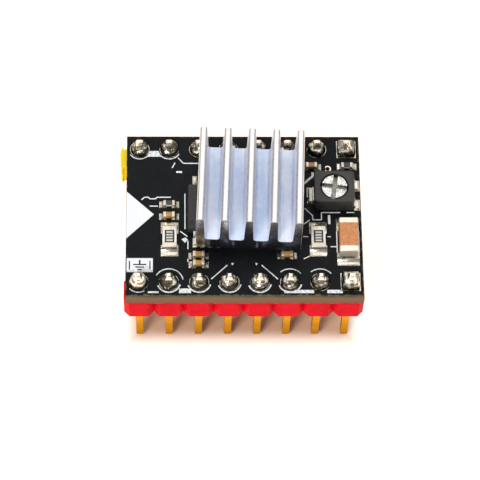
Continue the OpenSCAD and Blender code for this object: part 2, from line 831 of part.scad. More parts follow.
module sense_resistor_bodies() {
    color("#efece4") for (chip = sense_chips) chip_body(chip);
}

module sense_resistor_coats() {
    color("#26262a") for (chip = sense_chips) chip_coat(chip, 0.22);
}

module sense_resistor_ends() {
    color("#e8dfcf") for (chip = sense_chips) chip_ends(chip);
}

module small_cap_body(which) {
    color("#a8763e") chip_body(cap_chips[which]);
}

module small_cap_ends(which) {
    color("#e8dfcf") chip_ends(cap_chips[which]);
}

module small_resistor_bodies() {
    color("#efece4") for (chip = resistor_chips) chip_body(chip);
}

module small_resistor_coats() {
    color("#26262a") for (chip = resistor_chips) chip_coat(chip, 0.03);
}

module small_resistor_ends() {
    color("#e8dfcf") for (chip = resistor_chips) chip_ends(chip);
}

laminate();
copper_top();
copper_bottom();
hole_barrels();
mask_top();
mask_bottom();
legend_top();
power_header();
logic_header();
power_joints();
logic_joints();
chip_joints();
driver_case();
driver_leads();
driver_pad();
driver_die();
thermal_tape();
heatsink();
trimmer_case();
trimmer_rotor();
trimmer_wiper();
trimmer_track();
trimmer_end_tabs();
trimmer_wiper_tab();
bulk_cap_body();
bulk_cap_ends();
sense_resistor_bodies();
sense_resistor_coats();
sense_resistor_ends();
small_cap_body(0);  // pump_cap_body
small_cap_ends(0);  // pump_cap_ends
small_cap_body(1);  // boost_cap_body
small_cap_ends(1);  // boost_cap_ends
small_cap_body(2);  // logic_cap_body
small_cap_ends(2);  // logic_cap_ends
small_cap_body(3);  // reference_cap_body
small_cap_ends(3);  // reference_cap_ends
small_cap_body(4);  // supply_cap_body
small_cap_ends(4);  // supply_cap_ends
small_resistor_bodies();
small_resistor_coats();
small_resistor_ends();
for (i = [0:row_pins - 1]) {
    header_pin(pin_x[i], power_y);
    header_pin(pin_x[i], logic_y);
}
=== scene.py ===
import math
import random

import bmesh
import bpy
from bpy.props import FloatProperty, FloatVectorProperty, IntProperty, PointerProperty
from mathutils import Matrix, Vector, noise


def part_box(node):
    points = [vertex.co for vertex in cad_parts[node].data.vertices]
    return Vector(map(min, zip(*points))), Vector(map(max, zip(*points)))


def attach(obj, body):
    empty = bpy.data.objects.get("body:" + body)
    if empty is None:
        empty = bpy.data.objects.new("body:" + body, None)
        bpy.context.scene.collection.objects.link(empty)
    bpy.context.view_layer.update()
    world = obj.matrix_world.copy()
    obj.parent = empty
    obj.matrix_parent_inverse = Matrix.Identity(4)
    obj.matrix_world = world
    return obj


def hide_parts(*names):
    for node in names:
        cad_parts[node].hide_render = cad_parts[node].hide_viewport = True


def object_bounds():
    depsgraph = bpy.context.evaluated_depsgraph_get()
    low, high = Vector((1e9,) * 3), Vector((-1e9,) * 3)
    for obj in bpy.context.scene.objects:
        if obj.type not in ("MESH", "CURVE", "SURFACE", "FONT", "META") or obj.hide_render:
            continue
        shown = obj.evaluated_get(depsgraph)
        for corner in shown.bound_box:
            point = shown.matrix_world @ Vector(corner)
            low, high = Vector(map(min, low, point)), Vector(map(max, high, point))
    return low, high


bl_info = {
    "name": "Stepper Driver Module",
    "version": (1, 0, 0),
    "blender": (4, 5, 0),
    "location": "3D View > Sidebar > Driver Module",
    "description": "Builds the looks of a plug-in stepper motor driver around its CAD frame",
    "category": "Add Mesh",
}

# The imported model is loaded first, so that places and sizes come from it.
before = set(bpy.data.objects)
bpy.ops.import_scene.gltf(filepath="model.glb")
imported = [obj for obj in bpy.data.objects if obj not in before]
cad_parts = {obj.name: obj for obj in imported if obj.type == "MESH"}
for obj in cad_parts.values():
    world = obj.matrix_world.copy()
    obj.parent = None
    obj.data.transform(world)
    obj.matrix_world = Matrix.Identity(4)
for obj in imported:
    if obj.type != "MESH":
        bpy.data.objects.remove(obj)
cad_low, cad_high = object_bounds()

MM = 0.001
SEED = 11


# ---- measures from the CAD frame, in millimetres ----

def span(node):
    """Lowest and highest corner of a CAD node."""
    low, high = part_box(node)
    return low / MM, high / MM


def middle(node):
    low, high = span(node)
    return (low + high) / 2


Z_TOP = span("mask_top")[1].z
Z_BOARD = span("mask_bottom")[0].z
Z_PAD = span("copper_top")[1].z
PIN_X = [middle(f"power_pin_{i}").x for i in range(1, 9)]
ROWS = {"power": middle("power_pin_1").y, "logic": middle("logic_pin_1").y}
SEAT = 0.03
LEADS_PER_SIDE = 14


# ---- materials ----

def linear(code):
    """The linear colour of an sRGB hex code."""
    parts = [int(code[i:i + 2], 16) / 255 for i in (1, 3, 5)]
    return [c / 12.92 if c <= 0.04045 else ((c + 0.055) / 1.055) ** 2.4 for c in parts] + [1.0]


def per(size):
    """The scale that gives a pattern features of a size in millimetres."""
    return 1 / (size * MM)


def bands(size):
    """The scale that gives a wave texture bands of a size in millimetres."""
    return 0.31416 * per(size)


def feed(tree, node, inputs):
    """Sets a node's inputs to values, or links them to sockets or to the first output of nodes."""
    for key, value in inputs.items():
        if isinstance(value, bpy.types.Node):
            value = value.outputs[0]
        if isinstance(value, bpy.types.NodeSocket):
            tree.links.new(value, node.inputs[key])
        else:
            node.inputs[key].default_value = value


def add(tree, kind, inputs=None, **settings):
    """Adds a node with its settings and links."""
    node = tree.nodes.new("ShaderNode" + kind)
    for key, value in settings.items():
        setattr(node, key, value)
    feed(tree, node, inputs or {})
    return node


def layer(tree, source, limits, shares, under, over):
    """Lays a colour over another, with a share that runs as a pattern does between its limits."""
    share = add(tree, "MapRange", {0: source, 1: limits[0], 2: limits[1], 3: shares[0], 4: shares[1]})
    return add(tree, "Mix", {0: share, 6: under, 7: over}, data_type="RGBA").outputs[2]


def past_edge(tree, place, corner):
    """How far a point lies outside a rectangle round the origin, with its corner in metres."""
    axes = add(tree, "SeparateXYZ", {0: place})
    past = []
    for axis in (0, 1):
        out = add(tree, "Math", {0: axes.outputs[axis]}, operation="ABSOLUTE")
        past.append(add(tree, "Math", {0: out, 1: corner[axis]}, operation="SUBTRACT"))
    return add(tree, "Math", {0: past[0], 1: past[1]}, operation="MAXIMUM")


def start(name):
    """A new material: itself, its tree, its shader and the object's own coordinates."""
    made = bpy.data.materials.new(name)
    made.use_nodes = True
    tree = made.node_tree
    tree.nodes.clear()
    shader = add(tree, "BsdfPrincipled")
    add(tree, "OutputMaterial", {"Surface": shader})
    return made, tree, shader, add(tree, "TexCoord").outputs["Object"]


def glass_epoxy():
    # Woven glass cloth in epoxy, scored and snapped: the edge shows the plies of cloth as thin lines, with
    # pale fibre ends between them; it is darker along the top, and a painted shade turns it red-brown below.
    made, tree, shader, place = start("Glass epoxy laminate, cut edge")
    plies = add(tree, "TexWave", {"Vector": place, "Scale": bands(0.19), "Distortion": 1.5,
                                  "Detail": 3.0, "Detail Scale": 1.2}, bands_direction="Z")
    fibres = add(tree, "TexNoise", {"Vector": place, "Scale": per(0.12), "Detail": 4.0, "Roughness": 0.7})
    stain = add(tree, "TexNoise", {"Vector": place, "Scale": per(1.8), "Detail": 2.0})
    cloth = layer(tree, plies.outputs[1], (0.2, 0.9), (0.0, 1.0), linear("#4e412c"), linear("#7c6c4c"))
    pale = layer(tree, fibres, (0.52, 0.75), (0.0, 0.5), cloth, linear("#98835f"))
    height = add(tree, "SeparateXYZ", {0: place}).outputs[2]
    uneven = add(tree, "Math", {0: stain, 1: 0.7 * MM, 2: height}, operation="MULTIPLY_ADD")
    # Painted shade: low down, the edge is mixed to red-brown for the shade and red light under the board.
    edge_painted_shade = layer(tree, uneven, ((Z_BOARD + 0.7) * MM, (Z_BOARD + 1.25) * MM), (0.85, 0.0),
                    pale, linear("#83422f"))
    colour = layer(tree, uneven, ((Z_TOP - 0.25) * MM, (Z_TOP + 0.3) * MM), (0.0, 0.85),
                   edge_painted_shade, linear("#302818"))
    rough = add(tree, "Math", {0: plies.outputs[1], 1: fibres}, operation="ADD")
    bump = add(tree, "Bump", {"Height": rough, "Distance": 0.012 * MM, "Strength": 0.8})
    feed(tree, shader, {"Base Color": colour, "Roughness": 0.72, "IOR": 1.55,
                        "Specular IOR Level": 0.25, "Normal": bump})
    return made


def solder_mask(colour):
    # Liquid photo-imaged solder mask, black: a thin lacquer, satin, a little uneven over the
    # weave of the laminate below it, and chipped to khaki along the snapped edges.
    made, tree, shader, place = start("Black solder mask lacquer")
    peel = add(tree, "TexNoise", {"Vector": place, "Scale": per(0.35), "Detail": 2.0})
    weave_x = add(tree, "TexWave", {"Vector": place, "Scale": bands(0.42), "Distortion": 0.6},
                  bands_direction="X")
    weave_y = add(tree, "TexWave", {"Vector": place, "Scale": bands(0.47), "Distortion": 0.6},
                  bands_direction="Y")
    weave = add(tree, "Math", {0: weave_x.outputs[1], 1: weave_y.outputs[1]}, operation="MULTIPLY")
    relief = add(tree, "Math", {0: weave, 1: 0.5, 2: peel}, operation="MULTIPLY_ADD")
    bump = add(tree, "Bump", {"Height": relief, "Distance": 0.004 * MM, "Strength": 0.7})
    cloud = add(tree, "TexNoise", {"Vector": place, "Scale": per(2.4), "Detail": 3.0})
    dust = add(tree, "TexNoise", {"Vector": place, "Scale": per(0.09), "Detail": 1.0})
    shade = add(tree, "Mix", {0: cloud, 6: colour, 7: linear("#1a1b1e")}, data_type="RGBA")
    dusty = layer(tree, dust, (0.64, 0.8), (0.0, 0.5), shade.outputs[2], linear("#3c3d3c"))
    chips = add(tree, "TexNoise", {"Vector": place, "Scale": per(0.5), "Detail": 5.0, "Roughness": 0.7})
    nearest = past_edge(tree, place, span("mask_top")[1] * MM)
    ragged = add(tree, "Math", {0: chips, 1: 0.9 * MM, 2: nearest}, operation="MULTIPLY_ADD")
    worn = layer(tree, ragged, (0.36 * MM, 0.5 * MM), (0.0, 0.9), dusty, linear("#6a6248"))
    gloss = add(tree, "MapRange", {0: cloud, 1: 0.3, 2: 0.7, 3: 0.26, 4: 0.4})
    feed(tree, shader, {"Base Color": worn, "Roughness": gloss, "IOR": 1.5,
                        "Specular IOR Level": 0.08, "Normal": bump})
    return made


def legend_ink(colour):
    # Screen-printed epoxy ink, white: matte, with a fine tooth, scrubbed thin along the pin rows
    # so that a little of the black shows through.
    made, tree, shader, place = start("White legend ink")
    tooth = add(tree, "TexNoise", {"Vector": place, "Scale": per(0.07), "Detail": 3.0, "Roughness": 0.7})
    thin = add(tree, "TexNoise", {"Vector": place, "Scale": per(0.2), "Detail": 4.0, "Roughness": 0.65})
    axes = add(tree, "SeparateXYZ", {0: place})
    out = add(tree, "Math", {0: axes.outputs[1]}, operation="ABSOLUTE")
    scrubbed = add(tree, "MapRange", {0: out, 1: 4.6 * MM, 2: 5.4 * MM, 3: 0.0, 4: 0.16})
    thinner = add(tree, "Math", {0: thin, 1: scrubbed}, operation="ADD")
    shade = layer(tree, thinner, (0.62, 0.84), (0.0, 0.75), colour, linear("#65696c"))
    bump = add(tree, "Bump", {"Height": tooth, "Distance": 0.004 * MM, "Strength": 0.6})
    feed(tree, shader, {"Base Color": shade, "Roughness": 0.6, "IOR": 1.5,
                        "Specular IOR Level": 0.2, "Normal": bump})
    return made


def tinned_copper(name):
    # Copper dipped in solder and levelled with hot air: bright and slightly pillowed.
    made, tree, shader, place = start(name)
    pillow = add(tree, "TexNoise", {"Vector": place, "Scale": per(0.6), "Detail": 2.0})
    fine = add(tree, "TexNoise", {"Vector": place, "Scale": per(0.08), "Detail": 3.0})
    relief = add(tree, "Math", {0: fine, 1: 0.15, 2: pillow}, operation="MULTIPLY_ADD")
    bump = add(tree, "Bump", {"Height": relief, "Distance": 0.03 * MM, "Strength": 0.8})
    shade = add(tree, "Mix", {0: fine, 6: linear("#f1ede2"), 7: linear("#c9c2ae")}, data_type="RGBA")
    gloss = add(tree, "MapRange", {0: pillow, 1: 0.3, 2: 0.7, 3: 0.2, 4: 0.38})
    feed(tree, shader, {"Base Color": shade.outputs[2], "Metallic": 1.0, "Roughness": gloss,
                        "Normal": bump})
    return made


def bare_copper():
    # Electroplated copper in a drilled hole: warm, fine-grained, slightly rough from the drill.
    made, tree, shader, place = start("Plated copper")
    rings = add(tree, "TexWave", {"Vector": place, "Scale": bands(0.05), "Distortion": 2.0},
                bands_direction="Z")
    grain = add(tree, "TexNoise", {"Vector": place, "Scale": per(0.05), "Detail": 2.0})
    bump = add(tree, "Bump", {"Height": rings.outputs[1], "Distance": 0.003 * MM, "Strength": 0.6})
    shade = add(tree, "Mix", {0: grain, 6: linear("#8f6248"), 7: linear("#5c3b29")}, data_type="RGBA")
    feed(tree, shader, {"Base Color": shade.outputs[2], "Metallic": 1.0, "Roughness": 0.35,
                        "Normal": bump})
    return made


def moulded_nylon(name, colour, dark):
    # Glass-filled nylon, moulded against a spark-eroded tool: satin, with a fine even grain and
    # faint flow clouds in the colour.
    made, tree, shader, place = start(name)
    grain = add(tree, "TexNoise", {"Vector": place, "Scale": per(0.06), "Detail": 2.0, "Roughness": 0.6})
    flow = add(tree, "TexNoise", {"Vector": place, "Scale": per(1.6), "Detail": 3.0, "Distortion": 0.8})
    shade = layer(tree, flow, (0.35, 0.75), (0.0, 0.45), colour, dark)
    bump = add(tree, "Bump", {"Height": grain, "Distance": 0.004 * MM, "Strength": 0.7})
    gloss = add(tree, "MapRange", {0: flow, 1: 0.3, 2: 0.7, 3: 0.36, 4: 0.48})
    feed(tree, shader, {"Base Color": shade, "Roughness": gloss, "IOR": 1.53,
                        "Specular IOR Level": 0.02, "Subsurface Weight": 0.1,
                        "Subsurface Radius": [1.0, 0.3, 0.2], "Subsurface Scale": 0.4 * MM,
                        "Normal": bump})
    return made


def solder(name, flux_and_shade_colour, flux_and_shade_top, ripple):
    # Tin solder: bright where it froze smooth, dull where it crystallised, more or less rippled, with a film
    # of dark flux left round its foot, as high as it is given, which also serves as a painted dark reflection
    # on the slopes.
    made, tree, shader, place = start(name)
    wave = add(tree, "TexNoise", {"Vector": place, "Scale": per(0.45), "Detail": 2.0, "Distortion": 0.4})
    crystal = add(tree, "TexVoronoi", {"Vector": place, "Scale": per(0.14)})
    height = add(tree, "SeparateXYZ", {0: place}).outputs[2]
    uneven = add(tree, "Math", {0: wave, 1: -1.6 * flux_and_shade_top * MM, 2: height}, operation="MULTIPLY_ADD")
    # Flux and painted reflection: the foot and lower slopes go dark, partly real flux film and partly a
    # painted dark reflection.
    flux = add(tree, "MapRange", {0: uneven, 1: (Z_PAD - 0.45 * flux_and_shade_top) * MM,
                                  2: (Z_PAD + 0.05 * flux_and_shade_top) * MM, 3: 0.95, 4: 0.0})
    bright = add(tree, "Mix", {0: crystal, 6: linear("#faf5e8"), 7: linear("#d6cebb")}, data_type="RGBA")
    shade = add(tree, "Mix", {0: flux, 6: bright.outputs[2], 7: flux_and_shade_colour}, data_type="RGBA")
    relief = add(tree, "Math", {0: crystal, 1: 0.25, 2: wave}, operation="MULTIPLY_ADD")
    bump = add(tree, "Bump", {"Height": relief, "Distance": ripple * MM, "Strength": 0.8})
    gloss = add(tree, "MapRange", {0: wave, 1: 0.35, 2: 0.7, 3: 0.18, 4: 0.34})
    feed(tree, shader, {"Base Color": shade.outputs[2], "Metallic": 1.0, "Roughness": gloss,
                        "Normal": bump})
    return made


def gold_pin(colour):
    # Brass wire with flash gold over nickel, drawn and cut: long faint draw lines, orange where fresh and
    # olive where dull, with a painted shade that darkens it towards the bottom. Above the board the molten
    # solder has wetted it silver.
    made, tree, shader, place = start("Flash gold on brass pin")
    stretched = add(tree, "Mapping", {"Vector": place, "Scale": (1.0, 1.0, 0.04)})
    lines = add(tree, "TexNoise", {"Vector": stretched, "Scale": per(0.05), "Detail": 2.0})
    wear = add(tree, "TexNoise", {"Vector": place, "Scale": per(0.7), "Detail": 4.0, "Roughness": 0.7})
    height = add(tree, "SeparateXYZ", {0: place}).outputs[2]
    uneven = add(tree, "Math", {0: wear, 1: 0.5 * MM, 2: height}, operation="MULTIPLY_ADD")
    wetted = add(tree, "MapRange", {0: uneven, 1: (Z_TOP + 0.35) * MM, 2: (Z_TOP + 0.6) * MM,
                                    3: 0.0, 4: 1.0})
    # Painted shade: the pin turns darker olive-gold towards its lower end.
    pin_painted_shade = add(tree, "MapRange", {0: uneven, 1: 2.5 * MM, 2: 6.0 * MM, 3: 0.9, 4: 0.0})
    olive = layer(tree, wear, (0.4, 0.62), (0.0, 0.7), colour, linear("#d0a02c"))
    gold = add(tree, "Mix", {0: pin_painted_shade, 6: olive, 7: linear("#a87908")}, data_type="RGBA")
    shade = add(tree, "Mix", {0: wetted, 6: gold.outputs[2], 7: linear("#f0ece0")}, data_type="RGBA")
    bump = add(tree, "Bump", {"Height": lines, "Distance": 0.004 * MM, "Strength": 0.7})
    gloss = add(tree, "MapRange", {0: wear, 1: 0.3, 2: 0.7, 3: 0.2, 4: 0.36})
    feed(tree, shader, {"Base Color": shade.outputs[2], "Metallic": 1.0, "Roughness": gloss,
                        "Specular Tint": linear("#ffecc8"), "Normal": bump})
    return made


def mould_compound():
    # Epoxy moulding compound, filled with silica: charcoal, matte, with pale filler grains.
    made, tree, shader, place = start("Epoxy moulding compound")
    grain = add(tree, "TexNoise", {"Vector": place, "Scale": per(0.05), "Detail": 3.0, "Roughness": 0.7})
    shade = layer(tree, grain, (0.45, 0.75), (0.0, 1.0), linear("#181717"), linear("#393735"))
    bump = add(tree, "Bump", {"Height": grain, "Distance": 0.006 * MM, "Strength": 0.8})
    feed(tree, shader, {"Base Color": shade, "Roughness": 0.55, "IOR": 1.55, "Normal": bump})
    return made


def silicon():
    # Polished silicon: dark blue-grey and mirror-like, with the faint grid of its circuits.
    made, tree, shader, place = start("Polished silicon")
    cells = add(tree, "TexBrick", {"Vector": place, "Scale": per(0.5), "Color1": linear("#5f6878"),
                                   "Color2": linear("#454e60"), "Mortar": linear("#8d95a3"),
                                   "Mortar Size": 0.02})
    feed(tree, shader, {"Base Color": cells, "Metallic": 0.8, "Roughness": 0.12})
    return made


def thermal_tape():
    # Ceramic-filled acrylic tape: pale blue-white, soft, dull.
    made, tree, shader, place = start("Ceramic-filled thermal tape")
    filler = add(tree, "TexNoise", {"Vector": place, "Scale": per(0.12), "Detail": 3.0})
    shade = add(tree, "Mix", {0: filler, 6: linear("#dfe4ea"), 7: linear("#b9c2ce")}, data_type="RGBA")
    bump = add(tree, "Bump", {"Height": filler, "Distance": 0.01 * MM, "Strength": 0.5})
    feed(tree, shader, {"Base Color": shade.outputs[2], "Roughness": 0.8, "IOR": 1.45, "Normal": bump})
    return made


def anodised(colour, turn):
    # Extruded aluminium, clear anodised: a silky pale metal with fine die lines and frosty flecks, a painted
    # cool light in patches on the faces that look up, and rubbed back to bare metal along the fin tops, a
    # band that also serves as a painted highlight.
    made, tree, shader, place = start("Clear anodised extruded aluminium")
    along = add(tree, "Mapping", {"Vector": place, "Rotation": (0.0, 0.0, -turn), "Scale": (1.0, 0.015, 1.0)})
    die = add(tree, "TexNoise", {"Vector": along, "Scale": per(0.09), "Detail": 3.0, "Roughness": 0.6})
    streak = add(tree, "TexNoise", {"Vector": along, "Scale": per(0.45), "Detail": 2.0})
    cloud = add(tree, "TexNoise", {"Vector": place, "Scale": per(1.1), "Detail": 4.0, "Roughness": 0.6})
    fine = layer(tree, die, (0.35, 0.7), (0.0, 0.4), colour, linear("#d5d8e5"))
    broad = add(tree, "Math", {0: streak, 1: cloud}, operation="MULTIPLY")
    # Painted cool light: on faces that look up, patches are tinted blue.
    painted_light_patches = add(tree, "MapRange", {0: broad, 1: 0.18, 2: 0.34, 3: 0.0, 4: 1.0})
    facing = add(tree, "SeparateXYZ", {0: add(tree, "NewGeometry").outputs["Normal"]})
    upward = add(tree, "MapRange", {0: facing.outputs[2], 1: 0.2, 2: 0.9, 3: 0.0, 4: 1.0})
    painted_cool_share = add(tree, "Math", {0: painted_light_patches, 1: upward}, operation="MULTIPLY")
    painted_cool_light = add(tree, "Mix", {0: painted_cool_share, 6: fine, 7: linear("#d0e1f8")}, data_type="RGBA")
    frost = add(tree, "TexNoise", {"Vector": place, "Scale": per(0.3), "Detail": 5.0, "Roughness": 0.75})
    pale = layer(tree, frost, (0.52, 0.7), (0.0, 0.7), painted_cool_light.outputs[2], linear("#eef2fc"))
    top = span("heatsink")[1].z
    height = add(tree, "SeparateXYZ", {0: place}).outputs[2]
    # The band along the fin tops is bare metal, and its tone also serves as a painted highlight of the tops.
    bare_tops_and_highlight = add(tree, "MapRange", {0: height, 1: (top - 0.45) * MM, 2: (top - 0.15) * MM,
                                    3: 0.0, 4: 1.0})
    shade = add(tree, "Mix", {0: bare_tops_and_highlight, 6: pale, 7: linear("#d9d7d5")}, data_type="RGBA")
    metal = add(tree, "MapRange", {0: bare_tops_and_highlight, 1: 0.0, 2: 1.0, 3: 0.3, 4: 0.95})
    bump = add(tree, "Bump", {"Height": die, "Distance": 0.006 * MM, "Strength": 0.8})
    silky = add(tree, "MapRange", {0: cloud, 1: 0.3, 2: 0.7, 3: 0.36, 4: 0.5})
    gloss = add(tree, "Math", {0: bare_tops_and_highlight, 1: -0.14, 2: silky}, operation="MULTIPLY_ADD")
    feed(tree, shader, {"Base Color": shade.outputs[2], "Metallic": metal,
                        "Roughness": gloss, "Normal": bump})
    return made


def sawn_aluminium(colour, turn):
    # The sawn ends of the extrusion, anodised with the rest: slanting saw marks, dark where they
    # mirror the board.
    made, tree, shader, place = start("Sawn anodised aluminium")
    across = add(tree, "Mapping", {"Vector": place, "Rotation": (0.0, math.radians(20), -turn),
                                   "Scale": (0.05, 1.0, 1.0)})
    marks = add(tree, "TexNoise", {"Vector": across, "Scale": per(0.08), "Detail": 2.0})
    shade = layer(tree, marks, (0.35, 0.7), (0.0, 0.6), colour, linear("#8f939c"))
    bump = add(tree, "Bump", {"Height": marks, "Distance": 0.006 * MM, "Strength": 0.7})
    feed(tree, shader, {"Base Color": shade, "Metallic": 1.0, "Roughness": 0.2, "Normal": bump})
    return made


def trimmer_plastic(colour):
    # Polyphenylene sulphide, heavily glass-filled: dark warm grey, with short pale fibres at
    # the surface and a coarse matte skin.
    made, tree, shader, place = start("Glass-filled PPS")
    fibre = add(tree, "TexVoronoi", {"Vector": place, "Scale": per(0.1), "Randomness": 1.0})
    grain = add(tree, "TexNoise", {"Vector": place, "Scale": per(0.08), "Detail": 3.0, "Roughness": 0.75})
    shade = layer(tree, grain, (0.42, 0.68), (0.0, 1.0), colour, linear("#37342f"))
    bump = add(tree, "Bump", {"Height": fibre, "Distance": 0.012 * MM, "Strength": 0.7})
    feed(tree, shader, {"Base Color": shade, "Roughness": 0.5, "IOR": 1.6, "Normal": bump})
    return made


def nickelled_steel():
    # Nickel-plated steel, turned and pressed: bright, with fine tool rings and scuffs from a screwdriver, and
    # darker down in the cross slot.
    made, tree, shader, place = start("Nickel-plated steel")
    centre = middle("trimmer_rotor") * MM
    centred = add(tree, "Mapping", {"Vector": place, "Location": (-centre.x, -centre.y, 0.0)})
    rings = add(tree, "TexWave", {"Vector": centred, "Scale": bands(0.11),
                                  "Distortion": 1.2, "Detail": 2.0},
                wave_type="RINGS", rings_direction="Z")
    scuff = add(tree, "TexNoise", {"Vector": place, "Scale": per(0.22), "Detail": 4.0, "Roughness": 0.7,
                                   "Distortion": 1.5})
    worn = layer(tree, scuff, (0.4, 0.62), (0.0, 1.0), linear("#fdfaf6"), linear("#a09a92"))
    top = span("trimmer_rotor")[1].z
    height = add(tree, "SeparateXYZ", {0: place}).outputs[2]
    shade = layer(tree, height, ((top - 0.26) * MM, (top - 0.06) * MM), (0.75, 0.0),
                  worn, linear("#57524c"))
    relief = add(tree, "Math", {0: rings.outputs[1], 1: 0.3, 2: scuff}, operation="MULTIPLY_ADD")
    bump = add(tree, "Bump", {"Height": relief, "Distance": 0.03 * MM, "Strength": 0.8})
    gloss = add(tree, "MapRange", {0: scuff, 1: 0.3, 2: 0.7, 3: 0.15, 4: 0.32})
    feed(tree, shader, {"Base Color": shade, "Metallic": 1.0, "Roughness": gloss, "Normal": bump})
    return made


def spring_bronze():
    # Rolled phosphor bronze strip: warm yellow-brown metal with rolling lines.
    made, tree, shader, place = start("Phosphor bronze strip")
    rolled = add(tree, "Mapping", {"Vector": place, "Scale": (1.0, 0.05, 1.0)})
    lines = add(tree, "TexNoise", {"Vector": rolled, "Scale": per(0.06), "Detail": 2.0})
    shade = add(tree, "Mix", {0: lines, 6: linear("#d8b774"), 7: linear("#a98748")}, data_type="RGBA")
    bump = add(tree, "Bump", {"Height": lines, "Distance": 0.003 * MM, "Strength": 0.6})
    feed(tree, shader, {"Base Color": shade.outputs[2], "Metallic": 1.0, "Roughness": 0.28,
                        "Normal": bump})
    return made


def resistive_ink():
    # Screen-printed carbon and glass paste, fired: black, dull, slightly pitted.
    made, tree, shader, place = start("Fired carbon paste")
    pits = add(tree, "TexVoronoi", {"Vector": place, "Scale": per(0.06)})
    shade = add(tree, "Mix", {0: pits, 6: linear("#1c1c1f"), 7: linear("#3a393b")}, data_type="RGBA")
    bump = add(tree, "Bump", {"Height": pits, "Distance": 0.005 * MM, "Strength": 0.7})
    feed(tree, shader, {"Base Color": shade.outputs[2], "Roughness": 0.6, "Normal": bump})
    return made


def fired_ceramic(name, colour, dark):
    # Barium titanate ceramic, pressed in layers and fired: warm, faintly mottled, with a dull
    # glaze; its layers show as very fine lines on the sides.
    made, tree, shader, place = start(name)
    layers = add(tree, "TexWave", {"Vector": place, "Scale": bands(0.09), "Distortion": 1.0},
                 bands_direction="Z")
    mottle = add(tree, "TexNoise", {"Vector": place, "Scale": per(0.3), "Detail": 4.0, "Roughness": 0.7})
    shade = layer(tree, mottle, (0.38, 0.72), (0.0, 0.7), colour, dark)
    relief = add(tree, "Math", {0: layers.outputs[1], 1: 0.3, 2: mottle}, operation="MULTIPLY_ADD")
    bump = add(tree, "Bump", {"Height": relief, "Distance": 0.008 * MM, "Strength": 0.6})
    feed(tree, shader, {"Base Color": shade, "Roughness": 0.4, "IOR": 1.6, "Normal": bump})
    return made


def tin_plating(name):
    # Matte tin over nickel on the dipped ends of a chip part: creamy, softly grained, with duller freckles,
    # and a painted reflection that browns it in blotches low down.
    made, tree, shader, place = start(name)
    grain = add(tree, "TexNoise", {"Vector": place, "Scale": per(0.1), "Detail": 4.0, "Roughness": 0.7})
    fresh = layer(tree, grain, (0.48, 0.78), (0.0, 0.5), linear("#f4ead8"), linear("#bfae8c"))
    height = add(tree, "SeparateXYZ", {0: place}).outputs[2]
    # Painted reflection: low down, the ends are browned in blotches, for the board they mirror.
    low = add(tree, "MapRange", {0: height, 1: (Z_TOP + 0.2) * MM, 2: (Z_TOP + 1.1) * MM,
                                 3: 0.75, 4: 0.0})
    blotch = add(tree, "TexNoise", {"Vector": place, "Scale": per(0.5), "Detail": 2.0})
    painted_reflection_share = add(tree, "Math", {0: low, 1: blotch}, operation="MULTIPLY")
    shade = add(tree, "Mix", {0: painted_reflection_share, 6: fresh, 7: linear("#6f5c28")}, data_type="RGBA")
    bump = add(tree, "Bump", {"Height": grain, "Distance": 0.012 * MM, "Strength": 0.7})
    feed(tree, shader, {"Base Color": shade.outputs[2], "Metallic": 0.75, "Roughness": 0.42,
                        "Normal": bump})
    return made


def alumina():
    # Fired alumina, snapped along a scribed line: white, finely grained, a little translucent.
    made, tree, shader, place = start("Fired alumina")
    grain = add(tree, "TexNoise", {"Vector": place, "Scale": per(0.08), "Detail": 3.0})
    shade = add(tree, "Mix", {0: grain, 6: linear("#f3f0ea"), 7: linear("#d9d4c9")}, data_type="RGBA")
    bump = add(tree, "Bump", {"Height": grain, "Distance": 0.006 * MM, "Strength": 0.6})
    feed(tree, shader, {"Base Color": shade.outputs[2], "Roughness": 0.5, "IOR": 1.7,
                        "Subsurface Weight": 0.1, "Subsurface Scale": 0.1 * MM, "Normal": bump})
    return made


def black_glaze():
    # Lead-free overglaze, printed and fired: black, glossy, softly wavy.
    made, tree, shader, place = start("Black overglaze")
    wave = add(tree, "TexNoise", {"Vector": place, "Scale": per(0.3), "Detail": 2.0})
    shade = add(tree, "Mix", {0: wave, 6: linear("#18181a"), 7: linear("#302f31")}, data_type="RGBA")
    bump = add(tree, "Bump", {"Height": wave, "Distance": 0.012 * MM, "Strength": 0.6})
    feed(tree, shader, {"Base Color": shade.outputs[2], "Roughness": 0.28, "IOR": 1.55, "Normal": bump})
    return made


def marking_paint():
    # Pad-printed pale paint on the glaze: thin, with ragged edges of wear.
    made, tree, shader, place = start("Pale marking paint")
    wear = add(tree, "TexNoise", {"Vector": place, "Scale": per(0.12), "Detail": 4.0, "Roughness": 0.7})
    shade = layer(tree, wear, (0.5, 0.72), (0.0, 0.8), linear("#d5cfc6"), linear("#837d78"))
    feed(tree, shader, {"Base Color": shade, "Roughness": 0.55, "IOR": 1.5})
    return made


def stock(recipe, name, *values):
    """A material that several steps share, made by the first that asks for it."""
    return bpy.data.materials.get(name) or recipe(name, *values)


def tinned():
    return stock(tinned_copper, "Hot-air-levelled solder on copper")


def tin():
    return stock(tin_plating, "Matte tin plating")


# ---- shapes, in millimetres ----

def pull(bm, faces, move, scale=None, about=None):
    """Extrudes faces as one region, then moves and scales the new end about a point."""
    edges = {edge for face in faces for edge in face.edges}
    made = bmesh.ops.extrude_face_region(bm, geom=list(faces) + list(edges))["geom"]
    verts = [part for part in made if isinstance(part, bmesh.types.BMVert)]
    bmesh.ops.translate(bm, verts=verts, vec=move)
    if scale:
        bmesh.ops.scale(bm, verts=verts, vec=scale, space=Matrix.Translation(-Vector(about)))
    return [part for part in made if isinstance(part, bmesh.types.BMFace)]


